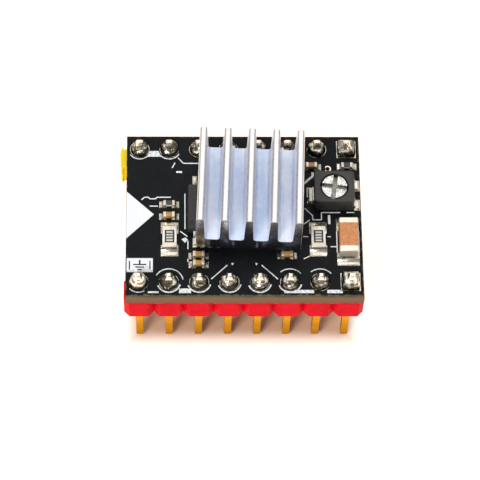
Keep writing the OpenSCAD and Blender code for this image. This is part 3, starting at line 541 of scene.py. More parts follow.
def soften(bm, width, segments=2, least=30, edges=None):
    """Rounds the edges that turn by more than the least angle, or the edges given."""
    if edges is None:
        edges = [e for e in bm.edges if len(e.link_faces) == 2
                 and e.calc_face_angle(0) > math.radians(least)]
    bmesh.ops.bevel(bm, geom=edges, offset=width, offset_type="OFFSET", segments=segments,
                    profile=0.5, affect="EDGES", material=-1, clamp_overlap=True)


def outline(bm, points, place=None):
    """A flat face through points, put in place by a matrix."""
    place = place or Matrix.Identity(4)
    return bm.faces.new([bm.verts.new(place @ Vector(point)) for point in points])


def block(bm, centre, size, turn=0.0):
    """A box of a size round a centre."""
    place = Matrix.Translation(centre) @ Matrix.Rotation(turn, 4, "Z") @ Matrix.Diagonal((*size, 1))
    return bmesh.ops.create_cube(bm, size=1, matrix=place)["verts"]


def cut(bm, normal, distance):
    """Cuts every face along a plane across an axis, at a distance from the origin."""
    bmesh.ops.bisect_plane(bm, geom=list(bm.verts) + list(bm.edges) + list(bm.faces), dist=1e-5,
                           plane_co=Vector(normal) * distance, plane_no=normal)


def recess(bm, face, centre, radius, depth, steps):
    """Sinks a round hollow into a flat face that looks up, and returns its floor."""
    ring = list(face.edges)
    bmesh.ops.delete(bm, geom=[face], context="FACES_ONLY")
    verts = bmesh.ops.create_circle(bm, cap_ends=True, radius=radius, segments=steps,
                                    matrix=Matrix.Translation(centre))["verts"]
    floor = verts[0].link_faces[0]
    bmesh.ops.bridge_loops(bm, edges=ring + list(floor.edges))
    return pull(bm, [floor], (0, 0, -depth))[0]


def hollow(inner, outer, low, high, steps=8):
    """Points of a hollow quarter curve, from outside and low to inside and high."""
    points = []
    for i in range(steps + 1):
        a = math.radians(90 * (1 - i / steps))
        points.append((outer - (outer - inner) * math.cos(a), high - (high - low) * math.sin(a)))
    return points


def full(inner, outer, low, high, steps=8):
    """Points of a full quarter curve, from outside and low to inside and high."""
    points = []
    for i in range(steps + 1):
        a = math.radians(90 * i / steps)
        points.append((inner + (outer - inner) * math.cos(a), low + (high - low) * math.sin(a)))
    return points


def strip(bm, points, width, place, rounding=0.0, segments=1):
    """A bar with a side view, centred on its width; its own Y runs along the width."""
    own = bmesh.new()
    face = outline(own, [(x, -width / 2, z) for x, z in points])
    pull(own, [face], (0, width, 0))
    bmesh.ops.recalc_face_normals(own, faces=own.faces)
    if rounding:
        soften(own, rounding, segments, 25)
    join(bm, own, place)


def join(bm, own, place=None):
    """Adds a shape of its own to a larger one, in place."""
    if place is not None:
        bmesh.ops.transform(own, matrix=place, verts=own.verts)
    mesh = bpy.data.meshes.new("part")
    own.to_mesh(mesh)
    own.free()
    bm.from_mesh(mesh)
    bpy.data.meshes.remove(mesh)


def at(x, y, z=0.0, turn=0.0):
    return Matrix.Translation((x, y, z)) @ Matrix.Rotation(turn, 4, "Z")


def piece(bm, name, materials, replaced=(), body="board", crease=38):
    """Closes a shape, brings it to metres and makes it a piece of the object."""
    bmesh.ops.remove_doubles(bm, verts=bm.verts, dist=1e-4)
    bmesh.ops.recalc_face_normals(bm, faces=bm.faces)
    bmesh.ops.scale(bm, vec=(MM, MM, MM), verts=bm.verts)
    mesh = bpy.data.meshes.new(name)
    bm.to_mesh(mesh)
    bm.free()
    return kept(mesh, name, materials, replaced, body, crease)


def kept(mesh, name, materials, replaced=(), body="board", crease=38):
    """Makes a finished mesh in metres a piece that rides on a body."""
    made = bpy.data.objects.new(name, mesh)
    bpy.context.scene.collection.objects.link(made)
    for material in materials:
        mesh.materials.append(material)
    mesh.shade_smooth()
    mesh.set_sharp_from_angle(angle=math.radians(crease))
    even = made.modifiers.new("Even shading", "WEIGHTED_NORMAL")
    even.keep_sharp = True
    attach(made, body)
    if replaced:
        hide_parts(*replaced)
    return made


def dress(material, *nodes):
    """Gives CAD nodes that stay in view a material."""
    for node in nodes:
        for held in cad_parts[node].material_slots:
            held.material = material


# ---- settings that a user would change ----

def length(name, description, size):
    return FloatProperty(name=name, description=description, default=size * MM, min=0.0,
                         precision=5, unit="LENGTH")


def colour(name, description, code):
    return FloatVectorProperty(name=name, description=description, default=linear(code), size=4,
                               min=0.0, max=1.0, subtype="COLOR")


def angle(name, description, degrees):
    return FloatProperty(name=name, description=description, default=math.radians(degrees),
                         subtype="ANGLE", unit="ROTATION")


class BoardSettings(bpy.types.PropertyGroup):
    mask_colour: colour("Mask colour", "Colour of the solder mask", "#08090a")
    ink_colour: colour("Legend colour", "Colour of the printed legend", "#e8eaea")
    track_width: length("Track width", "Width of a copper track under the mask", 0.3)
    track_rise: length("Track rise", "How far a track lifts the mask", 0.018)


class HeaderSettings(bpy.types.PropertyGroup):
    power_colour: colour("Power header", "Colour of the header on the motor side", "#d3001c")
    logic_colour: colour("Logic header", "Colour of the header on the logic side", "#f3da34")
    notch_depth: length("Notch depth", "Depth of the notch between two segments", 0.46)
    notch_half: length("Notch half width", "Half the width of a notch, along the row", 0.46)
    edge: length("Edge radius", "Radius of the moulded edges", 0.06)


class PinSettings(bpy.types.PropertyGroup):
    gold_colour: colour("Gold", "Colour of the gold plating", "#fba73c")
    taper: length("Taper", "Length of the tapered end of a pin", 0.4)
    tip: length("Tip", "Side of the flat at the tip of a pin", 0.3)


class SolderSettings(bpy.types.PropertyGroup):
    climb: length("Climb", "Height that the solder climbs up a pin", 0.6)
    foot: length("Foot", "Radius of a joint at its pad", 0.795)
    # Colour of the dark film round a pin joint's foot: flux, and also a painted dark reflection on its
    # slopes.
    flux_and_shade_colour: colour("Flux", "Colour of the flux film round a joint's foot", "#332e1c")


class ChipSettings(bpy.types.PropertyGroup):
    draft: length("Draft", "Slope of the moulding's sides, from the parting line", 0.1)
    lead_width: length("Lead width", "Width of a lead", 0.25)
    lead_thickness: length("Lead thickness", "Thickness of a lead", 0.15)
    lead_pitch: length("Lead pitch", "Distance from lead to lead", 0.65)


class HeatsinkSettings(bpy.types.PropertyGroup):
    colour: colour("Colour", "Colour of the anodised aluminium", "#eaedf6")
    end_colour: colour("End colour", "Colour of the sawn ends", "#b2b6c6")
    fins: IntProperty(name="Fins", description="Number of fins", default=5, min=2, max=8)
    side: length("Side", "Side of the square base", 8.8)
    base: length("Base", "Thickness of the base", 1.5)
    fin_tip: length("Fin tip", "Thickness of a fin at its tip", 0.65)
    fin_root: length("Fin root", "Thickness of a fin at its root", 0.85)
    turn: angle("Turn", "Turn of the heatsink as it was stuck on", -2.3)


class TrimmerSettings(bpy.types.PropertyGroup):
    colour: colour("Case colour", "Colour of the trimmer's case", "#171615")
    slot_width: length("Slot width", "Width of the rotor's cross slot", 0.36)
    slot_depth: length("Slot depth", "Depth of the rotor's cross slot", 0.3)
    slot_turn: angle("Slot turn", "Turn of the cross slot at rest", -8)


class PartSettings(bpy.types.PropertyGroup):
    bulk_colour: colour("Bulk capacitor", "Colour of the large ceramic body", "#d08648")
    small_colour: colour("Small capacitors", "Colour of the small ceramic bodies", "#bd8f42")
    end_radius: length("End radius", "Radius of the plated ends' edges", 0.09)


class StageSettings(bpy.types.PropertyGroup):
    # The floor's own colour shows only under the module, as a painted shade.
    floor_shade_colour: colour("Floor", "Colour of the floor", "#d6b092")
    azimuth: angle("Azimuth", "Camera's turn round the module, from the power row", -3.3)
    elevation: angle("Elevation", "Camera's height above the horizon", 63.08)
    roll: angle("Roll", "Camera's turn about its own axis", 3.0)
    distance: length("Distance", "Distance from the camera to the board", 197.7)


# ---- pieces ----

class DRIVER_OT_board(bpy.types.Operator):
    """Gives the board its laminate, copper, mask and legend, and the tracks under the mask"""
    bl_idname = "driver_module.board"
    bl_label = "Board"

    def execute(self, context):
        settings = context.scene.driver_board
        mask = solder_mask(settings.mask_colour)
        dress(glass_epoxy(), "laminate")
        dress(tinned(), "copper_top", "copper_bottom")
        dress(bare_copper(), "hole_barrels")
        dress(mask, "mask_top", "mask_bottom")
        dress(legend_ink(settings.ink_colour), "legend_top")
        self.tracks(settings, "tracks_top", Z_TOP, self.top_routes(), mask)
        self.tracks(settings, "tracks_bottom", Z_BOARD, self.bottom_routes(), mask)
        return {"FINISHED"}

    def top_routes(self):
        """Tracks on the top, in the open stretches between the parts."""
        left = [[(-8.6, -4.0), (-7.6, -3.2), (-7.6, -2.9), (-7.4, -2.6)],
                [(-5.5, 5.2), (-5.5, 4.4), (-6.9, 3.0), (-6.9, 1.9)],
                [(-4.5, 5.3), (-5.1, 3.6), (-5.1, 2.3)],
                [(-7.3, 5.4), (-7.3, 3.4), (-8.0, 2.7), (-8.0, 1.9)],
                [(-5.4, 0.9), (-5.2, 0.7)],
                [(-6.35, -0.7), (-6.35, -1.1)],
                [(-4.9, -5.2), (-5.3, -4.6), (-5.3, -3.4)],
                [(-8.2, -3.6), (-8.2, -2.7)]]
        right = [[(5.3, 4.0), (5.2, 2.6), (5.0, 2.4)],
                 [(6.9, 5.2), (6.9, 3.9)],
                 [(5.3, 1.6), (5.6, 1.3), (5.6, 0.9)],
                 [(7.3, -4.9), (7.3, -4.2), (7.0, -3.8)],
                 [(5.2, -4.9), (5.2, -4.5), (4.8, -4.1)]]
        far = [[(x, 5.35), (x, 5.15), (x * 0.93, 4.9)] for x in PIN_X[2:6]]
        near = [[(x, -5.35), (x * 0.94, -4.95), (x * 0.94, -4.4)] for x in PIN_X[2:6]]
        return left + right + far + near

    def bottom_routes(self):
        """Tracks on the underside, from the pins in towards the driver chip."""
        routes = []
        for side in (-1, 1):
            for i, x in enumerate(PIN_X):
                inner = x * 0.42
                bend = 3.9 - 0.18 * abs(i - 3.5)
                routes.append([(x, side * 4.95), (x, side * 4.2), (x * 0.8, side * bend),
                               (inner, side * 2.6), (inner, side * 1.9)])
        return routes

    def tracks(self, settings, name, z, routes, mask):
        """Flattened ribbons, one for each route, half sunk in the mask."""
        curve = bpy.data.curves.new(name, "CURVE")
        curve.dimensions = "3D"
        curve.bevel_depth = settings.track_width / 2
        curve.bevel_resolution = 2
        curve.use_fill_caps = True
        for route in routes:
            spline = curve.splines.new("POLY")
            spline.points.add(len(route) - 1)
            for point, (x, y) in zip(spline.points, route):
                point.co = (x * MM, y * MM, 0.0, 1.0)
        carrier = bpy.data.objects.new(name, curve)
        bpy.context.scene.collection.objects.link(carrier)
        mesh = bpy.data.meshes.new_from_object(
            carrier.evaluated_get(bpy.context.evaluated_depsgraph_get()))
        bpy.data.objects.remove(carrier)
        bpy.data.curves.remove(curve)
        flat = settings.track_rise / (settings.track_width / 2)
        mesh.transform(Matrix.Translation((0, 0, z * MM)) @ Matrix.Diagonal((1, 1, flat, 1)))
        mesh.name = name
        kept(mesh, name, [mask], crease=80)


class DRIVER_OT_headers(bpy.types.Operator):
    """Moulds the two snap-off pin headers"""
    bl_idname = "driver_module.headers"
    bl_label = "Headers"

    def execute(self, context):
        settings = context.scene.driver_headers
        red = moulded_nylon("Red moulded nylon", settings.power_colour, linear("#aa0012"))
        yellow = moulded_nylon("Yellow moulded nylon", settings.logic_colour, linear("#dfb022"))
        self.header(settings, "power", "red_plastic", red, 0.0)
        stub = PIN_X[0] - (PIN_X[1] - PIN_X[0]) / 2 - span("logic_header")[0].x
        self.header(settings, "logic", "yellow_plastic", yellow, stub)
        return {"FINISHED"}

    def header(self, settings, row, slot, plastic, stub):
        """A row of chamfered segments round square holes, extruded to its height."""
        low, high = span(f"{row}_header")
        half = (high.y - low.y) / 2
        pitch = (PIN_X[1] - PIN_X[0]) / 2
        deep, wide = settings.notch_depth / MM, settings.notch_half / MM
        pin_low, pin_high = span(f"{row}_pin_1")
        hole = (pin_high.x - pin_low.x) / 2
        corner = 0.06
        bm = bmesh.new()
        for x in PIN_X:
            rings = []
            for across, along, cut_x, cut_y in ((pitch, half, wide, deep), (hole, hole, corner, corner)):
                points = [(across, -along + cut_y), (across, along - cut_y), (across - cut_x, along),
                          (-across + cut_x, along), (-across, along - cut_y), (-across, -along + cut_y),
                          (-across + cut_x, -along), (across - cut_x, -along)]
                verts = [bm.verts.new((x + px, ROWS[row] + py, low.z)) for px, py in points]
                rings += [bm.edges.new((verts[i - 1], verts[i])) for i in range(8)]
            bmesh.ops.bridge_loops(bm, edges=rings)
        end, neck = PIN_X[0] - pitch, half - deep
        if stub:
            flare = stub * 0.6
            crown = neck + flare * deep / wide
            points = [(0, -neck), (0, neck), (-flare, crown), (-stub * 0.75, half * 0.8),
                      (-stub * 0.86, half * 0.5), (-stub, half * 0.3), (-stub * 0.92, half * 0.1),
                      (-stub * 0.8, -half * 0.15), (-stub * 0.9, -half * 0.55), (-flare, -crown)]
            outline(bm, [(end + px, ROWS[row] + py, low.z) for px, py in points])
        bmesh.ops.remove_doubles(bm, verts=bm.verts, dist=1e-4)
        bmesh.ops.recalc_face_normals(bm, faces=bm.faces)
        pull(bm, list(bm.faces), (0, 0, high.z - low.z))
        bmesh.ops.recalc_face_normals(bm, faces=bm.faces)
        soften(bm, settings.edge / MM, 2, 30)
        piece(bm, f"{row}_header_moulding", [plastic], [f"{row}_header"])


class DRIVER_OT_pins(bpy.types.Operator):
    """Draws the sixteen square pins with their tapered tips"""
    bl_idname = "driver_module.pins"
    bl_label = "Pins"

    def execute(self, context):
        settings = context.scene.driver_pins
        gold = gold_pin(settings.gold_colour)
        for row in ROWS:
            for i in range(1, 9):
                self.pin(settings, f"{row}_pin_{i}", gold)
        return {"FINISHED"}

    def pin(self, settings, node, gold):
        low, high = span(node)
        side = high.x - low.x
        taper, tip = settings.taper / MM, settings.tip / MM / side
        centre = (low + high) / 2
        bm = bmesh.new()
        block(bm, centre, (side, side, high.z - low.z - 2 * taper))
        for up in (-1, 1):
            end = [f for f in bm.faces if f.normal.z * up > 0.9]
            pull(bm, end, (0, 0, up * taper), (tip, tip, 1), centre)
        bmesh.ops.recalc_face_normals(bm, faces=bm.faces)
        soften(bm, 0.045, 2, 20)
        piece(bm, node.replace("_pin_", "_pin_plated_"), [gold], [node])


class DRIVER_OT_pin_joints(bpy.types.Operator):
    """Runs a mound of solder round every pin, each a little different"""
    bl_idname = "driver_module.pin_joints"
    bl_label = "Pin joints"

    def execute(self, context):
        settings = context.scene.driver_solder
        chance = random.Random(SEED)
        # The logic row's copy runs its dark film higher: a painted shade that makes the far row darker.
        metals = {"power": solder("Hand-run tin solder", settings.flux_and_shade_colour, 0.9, 0.05),
                  "logic": solder("Hand-run tin solder, far row in painted shade", settings.flux_and_shade_colour, 1.25, 0.05)}
        fill = {"power": [1.5, 0.5, 0.65, 0.95, 0.9, 0.8, 0.7, 1.4],
                "logic": [0.9, 0.8, 1.0, 0.7, 0.9, 0.8, 1.0, 1.2]}
        for row in ROWS:
            bm = bmesh.new()
            low = span(f"{row}_joints")[0].z
            for i, (x, full_up) in enumerate(zip(PIN_X, fill[row])):
                self.joint(settings, bm, Vector((x, ROWS[row], low)), full_up, i == 7, chance)
            piece(bm, f"{row}_joints_run", [metals[row]], [f"{row}_joints"], crease=60)
        return {"FINISHED"}

    def joint(self, settings, bm, place, full_up, squared, chance):
        own = bmesh.new()
        foot, climb = settings.foot / MM, settings.climb / MM * full_up
        fill, neck = 0.5, 0.4
        profile = [(0.0, place.z), (fill, place.z), (fill, Z_PAD), (foot - 0.02, Z_PAD), (foot, Z_PAD + 0.02)]
        profile += full(neck, foot, Z_PAD + 0.06, Z_TOP + climb, 9)
        profile += [(neck - 0.12, Z_TOP + climb + 0.02), (0.0, Z_TOP + climb + 0.02)]
        verts = [own.verts.new((r, 0, z)) for r, z in profile]
        edges = [own.edges.new(pair) for pair in zip(verts, verts[1:])]
        bmesh.ops.spin(own, geom=verts + edges, cent=(0, 0, 0), axis=(0, 0, 1), angle=math.tau,
                       steps=40, use_merge=True)
        bmesh.ops.remove_doubles(own, verts=own.verts, dist=1e-4)
        lean = Vector((chance.uniform(-0.12, 0.12), chance.uniform(-0.12, 0.02), 0))
        offset = Vector((chance.uniform(0, 50), chance.uniform(0, 50), 0))
        for v in own.verts:
            rise = max(0.0, v.co.z - Z_PAD - 0.06)
            if squared and v.co.z > Z_PAD - 1e-3 and v.co.xy.length > neck + 0.05:
                v.co.xy *= (v.co.xy.length / max(abs(v.co.x), abs(v.co.y))) ** 0.8
            if rise:
                lump = 1 + 0.16 * noise.noise(v.co * 1.9 + offset)
                v.co.x *= min(lump, 1.04)
                v.co.y *= min(lump, 1.04)
                v.co.z += 0.12 * rise * noise.noise(v.co * 2.3 - offset)
                v.co += lean * rise
        join(bm, own, at(place.x, place.y))


def lead_places(pitch, out):
    """Where the driver chip's leads stand, at a distance out from the middle of its long sides."""
    centre = middle("driver_case")
    for side in (math.pi / 2, -math.pi / 2):
        for i in range(LEADS_PER_SIDE):
            along = (i - (LEADS_PER_SIDE - 1) / 2) * pitch
            yield at(centre.x, centre.y, 0, side) @ Matrix.Translation((out, along, 0))


def chip_parts():
    """Every chip part: centre, turn, size, end, reach and climb of its solder, extra width."""
    parts = []

    def part(x, y, turn, size, end, reach, climb, extra):
        parts.append({"at": (x, y), "turn": turn, "size": size, "end": end, "reach": reach,
                      "climb": climb, "extra": extra})

    low, high = span("bulk_cap_ends")
    size = high - low
    part((low.x + high.x) / 2, (low.y + high.y) / 2, math.pi / 2, (size.y, size.x, size.z),
         0.5, 0.62, 0.45, 0.14)
    low, high = span("sense_resistor_ends")
    size = (high.y - low.y, 1.25, high.z - low.z)
    for x in (low.x + size[1] / 2, high.x - size[1] / 2):
        part(x, (low.y + high.y) / 2, math.pi / 2, size, 0.4, 0.6, 0.32, 0.1)
    for name in ("pump", "boost", "logic", "reference", "supply"):
        low, high = span(f"{name}_cap_ends")
        part((low.x + high.x) / 2, (low.y + high.y) / 2, 0.0, high - low, 0.24, 0.33, 0.28, 0.05)
    low, high = span("small_resistor_ends")
    size = (1.0, 0.5, high.z - low.z)
    for x, y in ((low.x + 0.5, low.y + 0.25), (high.x - 0.5, high.y - 0.25)):
        part(x, y, 0.0, size, 0.22, 0.33, 0.2, 0.05)
    return parts


class DRIVER_OT_chip_joints(bpy.types.Operator):
    """Runs solder up the ends of the chip parts, the leads and the trimmer's terminals"""
    bl_idname = "driver_module.chip_joints"
    bl_label = "Chip joints"

    def execute(self, context):
        chip = context.scene.driver_chip
        metal = solder("Reflowed solder paste", linear("#a89a78"), 0.1, 0.018)
        bm = bmesh.new()
        for part in chip_parts():
            size = part["size"]
            for side in (0.0, math.pi):
                place = at(*part["at"], 0, part["turn"] + side) @ Matrix.Translation((size[0] / 2, 0, 0))
                wide = size[1] + 2 * part["extra"] - 0.04
                self.foot(bm, place, part["end"], part["reach"] - 0.03, part["climb"], wide, 0.1)
        self.leads(bm, chip)
        self.terminals(bm)
        piece(bm, "chip_joints_run", [metal], ["chip_joints"], crease=60)
        return {"FINISHED"}

    def foot(self, bm, place, under, reach, climb, wide, rounding):
        """Solder under a terminal and up its outer face, which stands at its own x = 0."""
        seat = Z_TOP + SEAT
        points = [(-under, Z_PAD), (reach, Z_PAD)]
        points += hollow(0.0, reach, seat, seat + climb, 5) + [(-0.03, seat + climb), (-0.03, seat),
                                                               (-under, seat)]
        strip(bm, points, wide, place, rounding, 2)

    def leads(self, bm, chip):
        low, high = span("driver_leads")
        for place in lead_places(chip.lead_pitch / MM, (high.y - low.y) / 2):
            self.foot(bm, place, 0.5, 0.19, 0.12, chip.lead_width / MM, 0.0)

    def terminals(self, bm):
        centre = middle("trimmer_case")
        right, left = span("trimmer_end_tabs"), span("trimmer_wiper_tab")
        tab = 0.9
        for y in (right[0].y + 0.4, right[1].y - 0.4):
            self.foot(bm, at(right[1].x, y), 0.35, 0.12, 0.1, tab, 0.03)
        place = at(left[0].x, centre.y, 0, math.pi)
        self.foot(bm, place, 0.35, 0.12, 0.1, left[1].y - left[0].y + 0.1, 0.03)


class DRIVER_OT_driver_chip(bpy.types.Operator):
    """Moulds the driver chip and forms its leads"""
    bl_idname = "driver_module.driver_chip"
    bl_label = "Driver chip"

    def execute(self, context):
        settings = context.scene.driver_chip
        dress(tinned(), "driver_pad")
        dress(silicon(), "driver_die")
        self.case(settings)
        self.leads(settings)
        return {"FINISHED"}

    def case(self, settings):
        low, high = span("driver_case")
        size, centre = high - low, (low + high) / 2
        draft = settings.draft / MM
        shrink = (1 - 2 * draft / size.x, 1 - 2 * draft / size.y, 1)
        bm = bmesh.new()
        bmesh.ops.create_grid(bm, x_segments=1, y_segments=1, size=0.5,
                              matrix=Matrix.Translation(centre) @ Matrix.Diagonal((size.x, size.y, 1, 1)))
        bm.faces.ensure_lookup_table()
        base = bm.faces[0]
        pull(bm, [base], (0, 0, size.z / 2), shrink, centre)
        pull(bm, [base], (0, 0, -size.z / 2), shrink, centre)
        bmesh.ops.recalc_face_normals(bm, faces=bm.faces)
        corners = [e for e in bm.edges if abs(e.verts[0].co.z - e.verts[1].co.z) > 0.2]
        soften(bm, 0.08, 2, edges=corners)
        mark, margin = Vector((low.x + 0.55, low.y + 0.62, high.z)), 0.42
        for normal, along in (((1, 0, 0), mark.x), ((0, 1, 0), mark.y)):
            for side in (-margin, margin):
                cut(bm, normal, along + side)
        top = min((f for f in bm.faces if f.normal.z > 0.99),
                  key=lambda f: (f.calc_center_median() - mark).length)
        recess(bm, top, mark, 0.26, 0.06, 20)
        bmesh.ops.recalc_face_normals(bm, faces=bm.faces)
        soften(bm, 0.03, 2, 25)
        piece(bm, "driver_case_moulding", [mould_compound()], ["driver_case"])

    def leads(self, settings):
        """Gull-wing leads, bent down from the parting line to flat feet."""
        case, leads = span("driver_case"), span("driver_leads")
        thick = settings.lead_thickness / MM
        body, out = (case[1].y - case[0].y) / 2, (leads[1].y - leads[0].y) / 2
        middle_z, foot = (case[0].z + case[1].z) / 2, Z_TOP + SEAT
        knee = out - 0.6
        side_view = [(body - 0.5, middle_z - thick / 2), (body + 0.12, middle_z - thick / 2),
                     (knee - 0.1, foot + 0.05), (knee, foot), (out, foot), (out, foot + thick),
                     (knee + 0.06, foot + thick), (body + 0.22, middle_z + thick / 2),
                     (body - 0.5, middle_z + thick / 2)]
        bm = bmesh.new()
        for place in lead_places(settings.lead_pitch / MM, 0):
            strip(bm, side_view, settings.lead_width / MM, place, 0.025, 1)
        piece(bm, "driver_leads_formed", [tinned()], ["driver_leads"])


class DRIVER_OT_heatsink(bpy.types.Operator):
    """Extrudes and saws the heatsink, and lays the thermal tape under it"""
    bl_idname = "driver_module.heatsink"
    bl_label = "Heatsink"

    def execute(self, context):
        settings = context.scene.driver_heatsink
        centre = middle("heatsink")
        low, high = span("heatsink")
        side, base = settings.side / MM, settings.base / MM
        tip, root = settings.fin_tip / MM, settings.fin_root / MM
        tall = high.z - low.z
        pitch = (side - tip) / (settings.fins - 1)
        points = [(-side / 2, 0)]
        for i in range(settings.fins):
            x = -side / 2 + tip / 2 + i * pitch
            if i:
                points.append((x - root / 2, base))
            points += [(x - tip / 2, tall), (x + tip / 2, tall)]
            if i < settings.fins - 1:
                points.append((x + root / 2, base))
        points.append((side / 2, 0))
        bm = bmesh.new()
        profile = outline(bm, [(x, -side / 2, z) for x, z in points])
        pull(bm, [profile], (0, side, 0))
        bmesh.ops.recalc_face_normals(bm, faces=bm.faces)
        self.round_along(bm, base, 0.24, 4)
        self.round_along(bm, tall, 0.22, 4)
        self.round_along(bm, 0, 0.06, 2)
        ends = [f for f in bm.faces if abs(f.normal.y) > 0.9]
        rim = list({e for f in ends for e in f.edges})
        soften(bm, 0.08, 2, edges=rim)
        for face in bm.faces:
            face.material_index = 1 if abs(face.normal.y) > 0.9 else 0
        bmesh.ops.transform(bm, matrix=at(centre.x, centre.y, low.z, settings.turn), verts=bm.verts)
        skins = [anodised(settings.colour, settings.turn),
                 sawn_aluminium(settings.end_colour, settings.turn)]
        piece(bm, "heatsink_extrusion", skins, ["heatsink"], crease=32)
        self.tape(settings, centre)
        return {"FINISHED"}

    def round_along(self, bm, z, radius, segments):
        """Rounds the edges that run along the fins at a height."""
        edges = [e for e in bm.edges if abs(e.verts[0].co.y - e.verts[1].co.y) > 1
                 and abs(e.verts[0].co.z - z) < 1e-3]
        soften(bm, radius, segments, edges=edges)

    def tape(self, settings, centre):
        low, high = span("thermal_tape")
        side = 8.5
        bm = bmesh.new()
        block(bm, (centre.x, centre.y, (low.z + high.z) / 2), (side, side, high.z - low.z), settings.turn)
        soften(bm, 0.03, 2)
        piece(bm, "thermal_tape_pad", [thermal_tape()], ["thermal_tape"])


class DRIVER_OT_trimmer(bpy.types.Operator):
    """Moulds the trimmer's case and presses its rotor and terminals"""
    bl_idname = "driver_module.trimmer"
    bl_label = "Trimmer"

    def execute(self, context):
        settings = context.scene.driver_trimmer
        dress(spring_bronze(), "trimmer_wiper")
        dress(resistive_ink(), "trimmer_track")
        self.case(settings)
        self.rotor(settings)
        self.terminals()
        return {"FINISHED"}

    def case(self, settings):
        low, high = span("trimmer_case")
        size, centre = high - low, (low + high) / 2
        rotor = span("trimmer_rotor")
        radius = (rotor[1].x - rotor[0].x) / 2 + 0.1
        floor_z, bore_z = span("trimmer_track")[0].z, rotor[0].z - 0.02
        bm = bmesh.new()
        block(bm, centre, size)
        corners = [e for e in bm.edges if abs(e.verts[0].co.z - e.verts[1].co.z) > 0.5]
        soften(bm, 0.18, 1, edges=corners)
        bmesh.ops.recalc_face_normals(bm, faces=bm.faces)
        top = max(bm.faces, key=lambda f: f.calc_center_median().z)
        floor = recess(bm, top, Vector((centre.x, centre.y, high.z)), radius, high.z - floor_z, 48)
        recess(bm, floor, Vector((centre.x, centre.y, floor_z)), 0.5, floor_z - bore_z, 24)
        bmesh.ops.recalc_face_normals(bm, faces=bm.faces)
        soften(bm, 0.05, 2, 35)
        piece(bm, "trimmer_case_moulding", [trimmer_plastic(settings.colour)],
              ["trimmer_case"])

    def rotor(self, settings):
        """A disc on a hub, its top left standing in four quarters round the cross slot."""
        low, high = span("trimmer_rotor")
        centre = (low + high) / 2
        radius, thick = (high.x - low.x) / 2, 0.52
        half, deep = settings.slot_width / MM / 2, settings.slot_depth / MM
        bm = bmesh.new()
        bmesh.ops.create_circle(bm, cap_ends=True, radius=radius, segments=64)
        for normal in ((1, 0, 0), (0, 1, 0)):
            for side in (-half, half):
                cut(bm, normal, side)
        tops = pull(bm, list(bm.faces), (0, 0, thick - deep))
        quarters = [f for f in tops if min(abs(f.calc_center_median().x),
                                           abs(f.calc_center_median().y)) > half]
        for quarter in quarters:
            pull(bm, [quarter], (0, 0, deep))
        bmesh.ops.recalc_face_normals(bm, faces=bm.faces)
        soften(bm, 0.05, 2, 40)
        hub = bmesh.new()
        bmesh.ops.create_cone(hub, cap_ends=True, segments=32, radius1=0.45, radius2=0.45,
                              depth=high.z - thick - low.z + 0.05,
                              matrix=Matrix.Translation((0, 0, -(high.z - thick - low.z) / 2 + 0.025)))
        join(bm, hub)
        bmesh.ops.transform(bm, matrix=at(centre.x, centre.y, high.z - thick, settings.slot_turn),
                            verts=bm.verts)
        piece(bm, "trimmer_rotor_pressed", [nickelled_steel()], ["trimmer_rotor"],
              body="trimmer_dial")

    def terminals(self):
        """Strips that leave the case's floor and bend down to flat feet."""
        case = span("trimmer_case")
        centre = middle("trimmer_case")
        wall, seat, thick = (case[1].x - case[0].x) / 2, Z_TOP + SEAT, 0.12
        metal = tinned()
        for node, wide, inner, turn in (("trimmer_end_tabs", 0.8, 0.5, 0.0),
                                        ("trimmer_wiper_tab", 1.3, -0.6, math.pi)):
            low, high = span(node)
            reach = max(high.x - centre.x, centre.x - low.x)
            run = high.z - thick
            side_view = [(inner, run), (wall, run), (wall, seat), (reach, seat), (reach, seat + thick),
                         (wall + thick, seat + thick), (wall + thick, high.z), (inner, high.z)]
            bm = bmesh.new()
            ys = (low.y + wide / 2, high.y - wide / 2) if high.y - low.y > 2 * wide else (centre.y,)
            for y in ys:
                strip(bm, side_view, wide, at(centre.x, y, 0, turn), 0.04, 2)
            piece(bm, node + "_formed", [metal], [node])


class DRIVER_OT_capacitors(bpy.types.Operator):
    """Fires the ceramic capacitors and dips their ends"""
    bl_idname = "driver_module.capacitors"
    bl_label = "Capacitors"

    def execute(self, context):
        settings = context.scene.driver_parts
        orange = fired_ceramic("Orange-brown fired ceramic", settings.bulk_colour, linear("#96531f"))
        brown = fired_ceramic("Brown fired ceramic", settings.small_colour, linear("#6d4d20"))
        parts = chip_parts()
        names = ["bulk", "pump", "boost", "logic", "reference", "supply"]
        for name, part in zip(names, [parts[0]] + parts[3:8]):
            slot, clay = ("orange_ceramic", orange) if name == "bulk" else ("brown_ceramic", brown)
            round_off = settings.end_radius / MM * (1 if name == "bulk" else 0.7)
            chip_body([part], f"{name}_cap_ceramic", clay, f"{name}_cap_body", 0.05)
            chip_ends([part], f"{name}_cap_terminals", tin(), f"{name}_cap_ends", round_off)
        return {"FINISHED"}


def slab(bm, part, centre, size, rounding, segments=2):
    """Adds a rounded block in a chip part's own place."""
    own = bmesh.new()
    block(own, centre, size)
    soften(own, rounding, segments)
    join(bm, own, at(*part["at"], Z_TOP + SEAT, part["turn"]))


def chip_body(parts, name, material, node, rounding):
    """The bodies of chip parts, between and inside their ends."""
    bm = bmesh.new()
    for part in parts:
        size = part["size"]
        slab(bm, part, (0, 0, size[2] / 2), [s - 0.06 for s in size], rounding)
    piece(bm, name, [material], [node])


